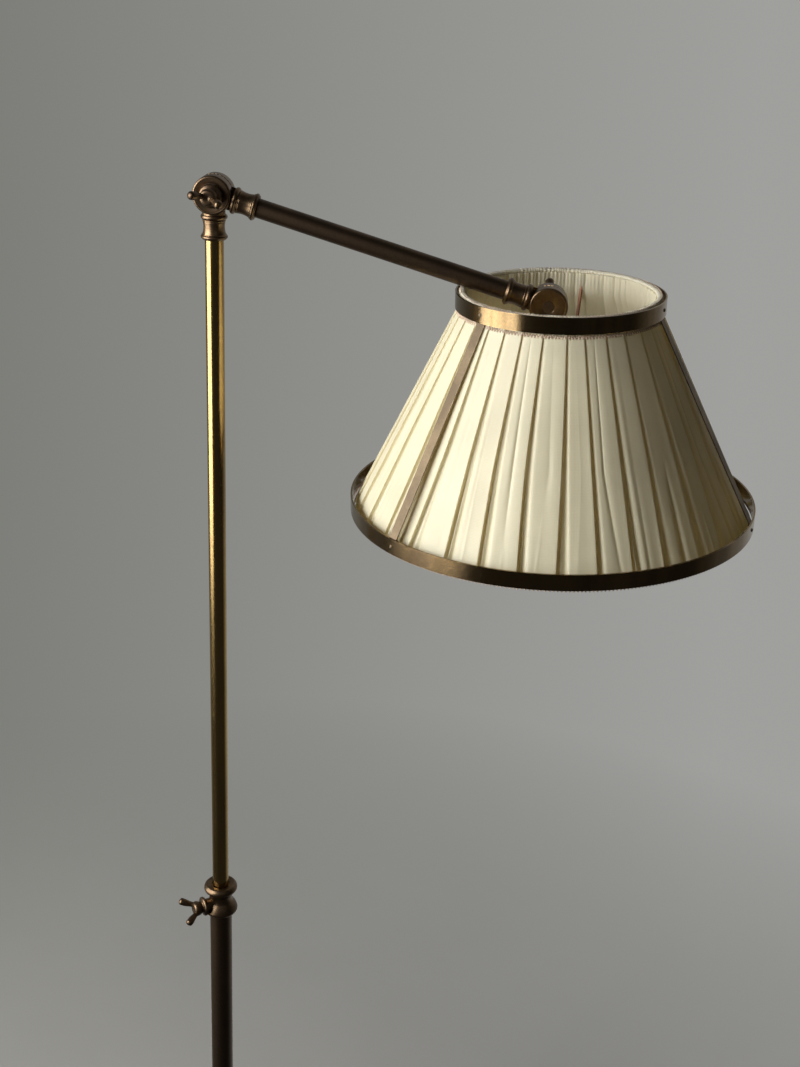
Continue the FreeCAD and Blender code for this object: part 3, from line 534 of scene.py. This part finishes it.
CREASE_DEEPEST, RIDGE_LOWEST = 5.0, 4.6
SECTION_STEPS = 2                             # points from one place in a section to the next


def uneven(points, chance, looseness):
    """One pleat's own section: how wide it opens, its lip, and the crease in its face."""
    wide = chance.uniform(-0.07, 0.07) * looseness
    crease = chance.choice((0.15, 0.3, 0.6, 1.0, 1.4, 1.8)) * chance.uniform(0.85, 1.15)
    crease_place = chance.uniform(-0.12, 0.12)
    lip = chance.uniform(0.4, 2.6)
    rise = chance.uniform(0.25, 1.6)
    places = []
    for i, (share, depth) in enumerate(points):
        if i == LIP:
            share += chance.uniform(-0.03, 0.02)
            depth *= 1 + (lip - 1) * looseness
        elif LIP < i < SWELL:
            share += crease_place
            if i == CREASE:
                depth = min(CREASE_DEEPEST, depth * (1 + (crease - 1) * looseness))
        elif i == SWELL:
            share += chance.uniform(-0.05, 0.03)
            depth *= chance.uniform(0.3, 2.4)
        elif FOLD <= i <= UNDER + 2:
            share += wide
        elif i == RIDGE:
            share += wide / 2
            if looseness == 1.0:
                share += chance.uniform(-0.010, 0.010)
                depth = min(RIDGE_LOWEST, depth * rise)
        places.append((share, depth))
    return places


def smooth_line(points, steps):
    """Catmull-Rom points through a section that repeats after a whole pitch."""
    padded = [(points[-1][0] - 1.0, points[-1][1])] + list(points)
    padded += [(share + 1.0, depth) for share, depth in points[:2]]
    line = []
    for i in range(1, len(points) + 1):
        corners = list(zip(*padded[i - 1:i + 3]))
        for step in range(steps):
            t = step / steps
            line.append(tuple(
                0.5 * (2 * b + (c - a) * t + (2 * a - 5 * b + 4 * c - d) * t * t
                       + (3 * b - a - 3 * c + d) * t ** 3)
                for a, b, c, d in corners))
    return line


def between(first, second, share):
    """A section part of the way from one to another."""
    return [(t0 + (t1 - t0) * share, d0 + (d1 - d0) * share)
            for (t0, d0), (t1, d1) in zip(first, second)]


def pleated_silk():
    """The cover's one sheet of silk: straight under the top hoop, then spreading to the hem."""
    chance = random.Random(7)
    half_open = [uneven(HALF_OPEN, chance, 0.6) for _ in range(pleats)]
    opened = [uneven(OPENED, chance, 1.0) for _ in range(pleats)]
    start_drift = [chance.uniform(-0.10, 0.10) for _ in range(pleats)]
    drift = [chance.uniform(-0.17, 0.17) for _ in range(pleats)]
    sway = [chance.uniform(-0.05, 0.05) for _ in range(pleats)]
    skirt_rows = 56
    rows = [(band_high, silk_top, 0.0), ((band_high + band_low) / 2, silk_top, 0.0)]
    for row in range(skirt_rows + 1):
        share = row / skirt_rows
        rows.append((band_low + (hem_low - band_low) * share,
                     silk_top + (silk_hem - silk_top) * share, share))
    pitch = 2 * math.pi / pleats
    points = []
    for height, radius, share in rows:
        for i in range(pleats):
            if share < HALF_WAY:
                section = between(PRESSED, half_open[i], (share / HALF_WAY) ** 0.8)
            else:
                section = between(half_open[i], opened[i], (share - HALF_WAY) / (1 - HALF_WAY))
            start, end = (start_drift[k] + (drift[k] - start_drift[k]) * share
                          + sway[k] * math.sin(math.pi * share)
                          for k in (i, (i + 1) % pleats))
            for t, depth in smooth_line(section, SECTION_STEPS):
                azimuth = pitch * (i + t + start * (1 - t) + end * t)
                points.append(at_shade(radius - max(0.0, depth) * MM, azimuth, height))
    columns = pleats * SECTION_STEPS * len(PRESSED)
    piece = new_mesh("silk_cover", points, grid_faces(len(rows), columns, True))
    hem = [points[(len(rows) - 1) * columns + k] for k in range(columns)]
    widths = [0.0]
    for k in range(columns):
        widths.append(widths[-1] + (hem[(k + 1) % columns] - hem[k]).length)
    lay_flat(piece, columns, widths, [row[0] for row in rows], True)
    area = sum(polygon.area for polygon in piece.data.polygons)
    return piece, area


cover, cover_area = pleated_silk()
finish_piece(cover, "shade", silk_cloth, "silk", "shade_cover")


def gathered_lining():
    """Thin lining, gathered on the top wire and spread at the bottom one."""
    chance = random.Random(11)
    gathers = 50
    phase = [chance.uniform(0, 2 * math.pi) for _ in range(4)]
    high = band_high
    low = hem_low + 2.0 * MM
    top = half_depth("shade_lining")
    columns = gathers * 14
    rows = 34
    top_lining = silk_top - 5.6 * MM
    points = []
    for row in range(rows + 1):
        share = row / rows
        height = high + (low - high) * share
        skirt = max(0.0, (band_low - 3.0 * MM - height) / (band_low - 3.0 * MM - low))
        radius = top_lining + (top - 0.3 * MM - top_lining) * skirt
        fine = math.exp(-share * 9.0)
        for k in range(columns):
            azimuth = 2 * math.pi * k / columns
            drift = (1.3 * math.sin(5 * azimuth + phase[0])
                     + 0.9 * math.sin(11 * azimuth + phase[1] + 2.0 * skirt))
            fold = abs(math.sin(gathers * azimuth / 2 + drift)) ** 0.7
            size = 1.35 + 0.65 * math.sin(7 * azimuth + phase[2]) + 0.5 * skirt
            pinch = 0.35 * fine * math.sin(3 * gathers * azimuth + phase[3]
                                           + 2.0 * math.sin(9 * azimuth))
            inwards = (size * fold + pinch + 0.2) * MM
            points.append(at_shade(radius - inwards, azimuth, height))
    piece = new_mesh("silk_lining", points, grid_faces(rows + 1, columns, True))
    widths = [2 * math.pi * top * k / columns for k in range(columns + 1)]
    heights = [high + (low - high) * row / rows for row in range(rows + 1)]
    lay_flat(piece, columns, widths, heights, True)
    area = sum(polygon.area for polygon in piece.data.polygons)
    slope = math.hypot(high - low, top - top_lining)
    return piece, area, slope


lining, lining_area, lining_slope = gathered_lining()
finish_piece(lining, "shade", lining_cloth, "lining_silk", "shade_lining")


# ================================================================ trims
def rolled_rim():
    """Silk binding rolled over the shade's top edge, a little uneven as hand work is."""
    chance = random.Random(3)
    count, sides = 960, 14
    phases = [chance.uniform(0, 2 * math.pi) for _ in range(4)]
    rows = []
    for k in range(count):
        azimuth = 2 * math.pi * k / count
        gather = math.sin(190 * azimuth + 3.0 * math.sin(23 * azimuth + phases[0]))
        wobble = (0.25 * math.sin(5 * azimuth + phases[1])
                  + 0.15 * math.sin(31 * azimuth + phases[2]))
        height = band_high + (0.1 + 1.1 * math.sin(azimuth) + wobble) * MM
        row = []
        for i in range(sides):
            angle = 2 * math.pi * i / sides
            swell = 1.0 + 0.10 * gather + 0.03 * math.sin(4 * angle + 40 * azimuth)
            row.append((silk_top + (2.55 * math.cos(angle) * swell - 2.95) * MM, azimuth,
                        height + 1.75 * math.sin(angle) * swell * MM))
        rows.append(row)
    points = [at_shade(*point) for row in rows for point in row]
    faces = []
    for k in range(count):
        for i in range(sides):
            a, b = k * sides + i, k * sides + (i + 1) % sides
            c, d = (k + 1) % count * sides + (i + 1) % sides, (k + 1) % count * sides + i
            faces.append((a, b, c, d))
    return new_mesh("rim_roll", points, faces)


finish_piece(rolled_rim(), "shade", binding_cloth, "silk", "rim_binding")


def looped_braid(name, radius, height, drop, flare, loops, lean=0.0, thread=0.42):
    """Fine braid: a thread that runs in small rounded loops, higher by lean towards +Y."""
    samples = 8
    path = []
    for k in range(loops * samples):
        turn = 2 * math.pi * k / samples
        azimuth = 2 * math.pi * (k + 0.45 * math.sin(turn)) / (loops * samples)
        depth = 0.5 - 0.5 * math.cos(turn)
        path.append(at_shade(radius + flare * depth, azimuth,
                             height + lean * math.sin(azimuth) - drop * depth))
    return tube(name, path, thread * MM, 5)


top_loops = looped_braid("top_braid_loops", silk_top + 0.5 * MM, band_low - 1.2 * MM,
                         drop=2.5 * MM, flare=1.3 * MM, loops=200)
finish_piece(top_loops, "shade", braid_thread, "braid", "top_braid")
rim_stitch = looped_braid("rim_stitch", silk_top - 1.1 * MM, band_high + 1.0 * MM,
                          drop=-1.1 * MM, flare=-0.7 * MM, loops=200, lean=1.1 * MM, thread=0.3)
finish_piece(rim_stitch, "shade", braid_thread, "braid")
hem_loops = looped_braid("hem_braid_loops", silk_hem - 0.2 * MM, hem_low - 0.2 * MM,
                         drop=2.5 * MM, flare=0.0, loops=350)
finish_piece(hem_loops, "shade", braid_thread, "braid", "bottom_braid")


# ================================================================ lamp
def smooth_lamp():
    """The lamp's glass: a ball that narrows smoothly to its cap."""
    low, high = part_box("lamp_glass")
    radius = half_depth("lamp_glass") * 1.005
    length = (high - low).z
    neck_radius = half_depth("lamp_cap")
    place = to_shade.copy()
    place.translation = middle("lamp_glass")
    line = [(0.0, -length / 2)]
    ball = -length / 2 + radius
    for step in range(21):
        angle = math.radians(-89.5 + step * (119.5 / 20))
        line.append((radius * math.cos(angle), ball + radius * math.sin(angle)))
    start = line[-1]
    end = (neck_radius * 0.97, length / 2 - 0.4 * MM)
    for step in range(1, 9):
        t = step / 8
        ease = t * t * (3 - 2 * t)
        narrowed = 0.6 * t + 0.4 * ease
        line.append((start[0] + (end[0] - start[0]) * narrowed, start[1] + (end[1] - start[1]) * t))
    shape = Shape(place)
    shape.lathe(line, segments=64)
    return shape.finish("lamp_ball")


finish_piece(smooth_lamp(), "lamp", lamp_frost, "frosted_glass", "lamp_glass")


# ================================================================ knuckles, wings and collar
# Millimetres; a knuckle's heights count from the plane where its halves meet, and a ferrule's
# from the pin.
TO_Y = Matrix.Rotation(math.radians(-90), 3, "X")          # brings the Z axis to Y
DISC, HALF, EDGE = 16.0, 11.0, 1.6                        # radius, thickness, rounded edge
TEETH, TOOTH = 32, 1.1
BOLT_HOLE = 3.2
TOOTH_LAND, TOOTH_FOOT = 0.15, 1.6
NECK, NECK_LOW = 9.9, 1.25
BEAD, WAIST, FERRULE_START, FERRULE_END = 11.2, 8.9, 16.5, 37.5
TUBE_BORE = 8.05


def knuckle_half(name, pin, direction, side, seat_radius, seat_depth, body, node):
    """A toothed disc on the side's Y, and a turned ferrule along the direction."""
    shape = Shape(axes_at(pin, direction, AXIS_Y * side))
    around = 4 * TEETH
    tooth = (TOOTH, TOOTH * 0.45, 0.0, TOOTH * 0.45)
    rows = []
    for radius, low, share in ((BOLT_HOLE, TOOTH_LAND, 0.0), (DISC - 0.25, TOOTH_LAND, 1.0),
                               (DISC, 0.35, 1.0), (DISC, TOOTH_FOOT, 0.0)):
        rows.append([TO_Y @ Vector((radius * c, radius * s, low + tooth[k % 4] * share)) * MM
                     for k, (c, s) in enumerate(circle(around))])
    shape.skin(rows)
    shape.lathe(outline(
        (DISC, TOOTH_FOOT), (DISC, HALF - EDGE),
        ((DISC - 0.29 * EDGE, HALF - 0.29 * EDGE), (DISC - EDGE, HALF)),
        ((DISC - EDGE - 0.35, HALF - 0.05), (DISC - EDGE - 0.6, HALF - 0.4)),
        (seat_radius + 0.3, HALF - 0.4), (seat_radius, HALF - 0.6),
        (seat_radius, seat_depth), (BOLT_HOLE, seat_depth),
    ), TO_Y, around)
    first = math.asin(NECK_LOW / NECK)
    angles = [first + (math.pi - 2 * first) * k / 24 for k in range(25)]
    arch = [Vector((NECK * math.cos(a), NECK * math.sin(a), 0)) for a in angles]
    shape.skin([[(point + AXIS_Z * height) * MM for point in arch] for height in (10.0, 17.0)])
    start, end = FERRULE_START, FERRULE_END
    shape.lathe(outline(
        (0.0, start), (BEAD - 1.6, start),
        ((BEAD, start + 2.1), (BEAD - 1.6, start + 4.2)),
        (BEAD - 1.9, start + 4.5),
        ((BEAD - 1.5, start + 5.2), (BEAD - 1.9, start + 5.9)),
        (WAIST + 0.5, start + 6.2),
        ((WAIST, start + 10.0), (BEAD - 1.4, end - 4.7)),
        ((BEAD - 0.8, end - 4.4), (BEAD - 0.9, end - 3.9)),
        ((BEAD + 0.1, end - 2.4), (BEAD - 1.0, end - 0.8)),
        ((BEAD - 1.4, end - 0.2), (BEAD - 2.0, end)),
        (TUBE_BORE, end), (TUBE_BORE, end - 4.0),
    ))
    finish_piece(shape.finish(name), body, bronze, "bronze", node)


knuckle_half("pole_joint", upper_pin, -AXIS_Z, -1, 10.0, 10.3, "stem", "pole_knuckle")
knuckle_half("arm_joint_near", upper_pin, arm_direction, 1, 4.75, 7.8, "arm", "arm_knuckle_inner")
knuckle_half("arm_joint_far", lower_pin, -arm_direction, 1, 10.0, 10.3, "arm", "arm_knuckle_outer")
knuckle_half("holder_joint", lower_pin, -shade_axis, -1, 4.75, 7.8, "holder", "holder_knuckle")


WING_SEAT = 11.9 * MM                         # from the plane where the knuckle's halves meet
HORN_FOOT, HORN_SPREAD, HORN_LOW, HORN_RISE = 3.4, 10.0, 7.0, 16.6
HORN_THICK, HORN_WAIST, HORN_BLUNT = 3.5, 1.0, 0.86
HORN_STEPS = 20


def wing_head(name, seat, outward, wing_line, body, node, shank=0.0):
    """Disc, hub and two horns that bend outwards; shank is the screw's length behind the disc."""
    shape = Shape(axes_at(seat, outward, outward.cross(wing_line)))
    line = [(0.0, 0.0)]
    if shank:
        line = [(0.0, -shank), (2.7, -shank), (3.0, -shank + 0.3), (3.0, 0.0)]
    shape.lathe(outline(
        *line, (8.9, 0.0), ((9.6, 1.5), (8.9, 3.0)), (6.6, 3.5), ((5.9, 4.6), (6.4, 6.2)),
        ((7.3, 10.0), (6.0, 12.4)), ((4.0, 12.9), (0.0, 12.2)),
    ), segments=64)
    for side in (1, -1):
        path, radii = [], []
        for k in range(HORN_STEPS + 1):
            t = k / HORN_STEPS
            x = HORN_FOOT + HORN_SPREAD * t ** 1.35
            path.append(Vector((side * x, 0, HORN_LOW + HORN_RISE * t)) * MM)
            thin = math.sin(math.pi * min(1.0, t / 0.75)) ** 2
            thick = HORN_THICK - HORN_WAIST * thin + 0.1 * t
            tip = max(0.0, (t - HORN_BLUNT) / (1 - HORN_BLUNT))
            radii.append(thick * math.sqrt(max(0.0, 1.0 - tip * tip)) * MM)
        shape.horn(path, radii)
    finish_piece(shape.finish(name, 50), body, bronze, "bronze", node)


upper_wing_angle = math.radians(16.0)
upper_wing_line = Vector((-math.cos(upper_wing_angle), 0, math.sin(upper_wing_angle)))
wing_head("wing_nut_near", upper_pin - AXIS_Y * WING_SEAT, -AXIS_Y, upper_wing_line,
          "upper_wing", "wing_nut_upper")
wing_head("wing_nut_far", lower_pin + AXIS_Y * WING_SEAT, AXIS_Y, AXIS_Z,
          "lower_wing", "wing_nut_lower")

collar_low, collar_high = (corner.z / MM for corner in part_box("collar"))
screw_azimuth = math.radians(216.5)
screw_tilt = math.radians(57.0)
screw_out = Vector((math.cos(screw_azimuth), math.sin(screw_azimuth), 0))
screw_lift = AXIS_Z * (collar_low + 12.7) * MM
screw_level = AXIS_Z.cross(screw_out)
screw_line = screw_level * math.sin(screw_tilt) - AXIS_Z * math.cos(screw_tilt)
wing_head("collar_wing_screw", screw_out * 17.2 * MM + screw_lift, screw_out, screw_line,
          "collar_wing", "collar_screw", shank=6.6)


def smooth_collar():
    """A turned spool between two rings, with the boss that the wing screw goes through."""
    ring, waist, low, high = 16.6, 11.4, collar_low, collar_high
    shape = Shape(Matrix.Identity(4))
    shape.lathe(outline(
        (11.02, low + 6.0), (11.02, low), (11.8, low), (12.1, low + 0.3), (12.1, low + 1.5),
        ((ring - 0.5, low + 3.4), (ring, low + 6.7)),
        ((ring - 1.4, low + 10.4), (waist + 0.7, low + 14.9)),
        ((waist, low + 18.4), (waist + 1.0, high - 12.0)),
        ((waist + 2.6, high - 9.2), (ring - 1.6, high - 8.0)),
        ((ring, high - 4.4), (ring - 1.6, high - 1.2)),
        ((ring - 2.6, high - 0.3), (ring - 4.0, high)),
        (9.8, high - 0.6), ((8.8, high - 1.0), (8.6, high - 2.0)), (8.6, high - 5.0),
    ), segments=128)
    tilt = axes_at(Vector(), screw_out, AXIS_Z).to_3x3()
    boss = outline((0.0, 16.9), (5.6, 16.9), ((6.3, 16.6), (6.6, 15.9)), (6.6, 10.0), (0.0, 10.0))
    shape.place = Matrix.Translation(screw_lift)
    shape.lathe(boss, tilt, 64)
    return shape.finish("collar_spool")


finish_piece(smooth_collar(), "base", bronze, "bronze", "collar")


def smooth_foot():
    """The spun cover and the socket on it, with the ogee that spinning gives."""
    shape = Shape(Matrix.Identity(4))
    shape.lathe(outline(
        (133.5, 3.0), (135.0, 3.0), (135.0, 14.6), ((134.5, 15.9), (133.2, 16.4)), (127.6, 20.4),
        ((126.4, 21.2), (124.8, 21.6)), ((88.0, 26.6), (56.0, 33.6)), ((36.0, 38.8), (24.0, 45.6)),
        (22.0, 47.0), (5.2, 47.0),
    ), segments=192)
    finish_piece(shape.finish("foot_cover"), "base", tube_bronze, "bronze", "base_cover")
    low, high = (corner.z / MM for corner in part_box("base_socket"))
    shape = Shape(Matrix.Identity(4))
    shape.lathe(outline(
        (5.2, low), (21.4, low), ((23.0, low + 2.0), (21.4, low + 4.0)), (19.0, low + 4.6),
        ((14.9, low + 12.6), (13.6, high - 7.2)), ((16.2, high - 4.5), (13.6, high - 1.9)),
        (13.0, high), (11.05, high), (11.05, low + 10.0),
    ), segments=96)
    finish_piece(shape.finish("foot_socket"), "base", tube_bronze, "bronze", "base_socket")


smooth_foot()


# ================================================================ stage
wall_left = (0.205, 0.208, 0.190)
wall_right = (0.350, 0.350, 0.338)
room_dark = (0.030, 0.029, 0.027)
backdrop_centre = (0.3, -1.2, 1.5)            # the pale tones follow the direction from here


def backdrop_tones(n, vector):
    """The pale backdrop, brighter towards +X, and what metal shows of the room: dark towards -Y."""
    parts = n.add("SeparateXYZ")
    n.join(vector, parts.inputs[0])
    pale = n.mix(n.ramp(parts.outputs["X"], -0.36, 0.14), wall_left, wall_right)
    return pale, n.mix(n.ramp(parts.outputs["Y"], -0.05, 0.75), room_dark, pale)


def floor():
    """Pale paint near the foot, where the lamp's shadow falls, and an even backdrop farther off; in
    metal the whole floor glows with a painted reflection of a room, dark towards -Y.
    """
    reach = 90.0
    corners = [(-reach, -reach, 0), (reach, -reach, 0), (reach, reach, 0), (-reach, reach, 0)]
    piece = new_mesh("floor", corners, [(0, 1, 2, 3)], False)
    n = new_material("floor_paint")
    place = n.coordinates()
    spots = n.ramp(n.noise(place, 3.0, 4.0), 0.3, 0.7)
    paint = n.mix(spots, (0.44, 0.435, 0.415), (0.47, 0.465, 0.445))
    n.join(paint, n.shader.inputs["Base Color"])
    n.shader.inputs["Roughness"].default_value = 0.9
    n.shader.inputs["Specular IOR Level"].default_value = 0.1
    far = n.add("VectorMath", operation="LENGTH")
    n.join(place, far.inputs[0])
    from_foot = n.add("VectorMath", operation="NORMALIZE")
    n.join(place, from_foot.inputs[0])
    shown_in_metal = backdrop_tones(n, from_foot.outputs["Vector"])[1]
    offset = n.add("VectorMath", operation="SUBTRACT")
    n.join(place, offset.inputs[0])
    offset.inputs[1].default_value = backdrop_centre
    from_centre = n.add("VectorMath", operation="NORMALIZE")
    n.join(offset.outputs["Vector"], from_centre.inputs[0])
    pale = backdrop_tones(n, from_centre.outputs["Vector"])[0]
    path = n.add("LightPath")
    seen = n.math("MAXIMUM", path.outputs["Is Camera Ray"], path.outputs["Is Transmission Ray"])
    seen = n.math("MULTIPLY", seen, n.ramp(far.outputs["Value"], 0.35, 1.6))
    glow = n.add("Emission")
    # For glossy rays the whole floor glows: a painted reflection of a room, dark towards -Y and pale
    # behind the lamp, for metal to show.
    n.join(n.mix(path.outputs["Is Glossy Ray"], pale, shown_in_metal), glow.inputs["Color"])
    blend = n.add("MixShader")
    n.join(n.math("MAXIMUM", seen, path.outputs["Is Glossy Ray"]), blend.inputs["Fac"])
    n.join(n.shader.outputs[0], blend.inputs[1])
    n.join(glow.outputs[0], blend.inputs[2])
    n.join(blend.outputs[0], n.output.inputs["Surface"])
    piece.data.materials.append(n.material)


def area_light(name, place, aim, width, height, power, colour=(1, 1, 1)):
    data = bpy.data.lights.new(name, "AREA")
    data.shape = "RECTANGLE"
    data.size = width
    data.size_y = height
    data.energy = power
    data.color = colour
    lamp = bpy.data.objects.new(name, data)
    lamp.location = place
    lamp.rotation_mode = "QUATERNION"
    lamp.rotation_quaternion = (Vector(aim) - Vector(place)).to_track_quat("-Z", "Y")
    bpy.context.scene.collection.objects.link(lamp)


def world():
    """A pale backdrop to look at; as light, and in metal, it is pale only behind the lamp."""
    sky = bpy.data.worlds.new("studio")
    n = Nodes(sky)
    background = n.tree.nodes["Background"]
    place = n.add("TexCoord")
    pale, directional = backdrop_tones(n, place.outputs["Generated"])
    path = n.add("LightPath")
    seen = n.math("MAXIMUM", path.outputs["Is Camera Ray"], path.outputs["Is Transmission Ray"])
    n.join(n.mix(seen, directional, pale), background.inputs["Color"])
    full = n.math("MAXIMUM", seen, path.outputs["Is Glossy Ray"])
    n.join(n.math("ADD", n.math("MULTIPLY", full, 0.7), 0.3), background.inputs["Strength"])
    bpy.context.scene.world = sky


def camera():
    """The photograph's view; the focal length is in pixels of its frame."""
    heading, pitch, roll = math.radians(4.60), math.radians(23.05), math.radians(2.56)
    frame_height = 1067.0
    focal_length = 1424.4
    forward = Vector((-math.sin(heading) * math.cos(pitch), math.cos(heading) * math.cos(pitch),
                      -math.sin(pitch)))
    level = Vector((math.cos(heading), math.sin(heading), 0))
    upright = level.cross(forward)
    right = level * math.cos(roll) + upright * math.sin(roll)
    up = right.cross(forward)
    data = bpy.data.cameras.new("camera")
    data.sensor_width = 36.0
    data.lens = focal_length * data.sensor_width / frame_height
    seen_from = bpy.data.objects.new("camera", data)
    seen_from.matrix_world = Matrix((
        (right.x, up.x, -forward.x, 0.2594),
        (right.y, up.y, -forward.y, -1.1654),
        (right.z, up.z, -forward.z, 1.5875),
        (0, 0, 0, 1),
    ))
    bpy.context.scene.collection.objects.link(seen_from)
    bpy.context.scene.camera = seen_from


def window():
    """Soft light from the left, in panes with narrow bars between them, as brass shows them."""
    aim = Vector((0.15, 0.0, 0.0))
    distance, pane, bar = 2.4, 0.72, 0.07
    for low, high, heading, power in ((1.30, 2.90, 208.0, 33.4), (0.02, 1.24, 202.0, 14.0)):
        azimuth = math.radians(heading)
        outward = Vector((math.cos(azimuth), math.sin(azimuth), 0))
        level = AXIS_Z.cross(outward)
        for column in (-1, 0, 1):
            place = aim + outward * distance + level * (pane + bar) * column
            place += AXIS_Z * (low + high) / 2
            area_light(f"pane_{low}_{column}", place, place - outward, pane, high - low, power,
                       (1.0, 0.995, 0.97))


floor()
world()
camera()
window()
area_light("fill", (1.2, -2.6, 2.2), (0.2, 0.0, 1.1), 2.4, 1.8, 1.2)
bpy.context.scene.view_settings.view_transform = "Standard"
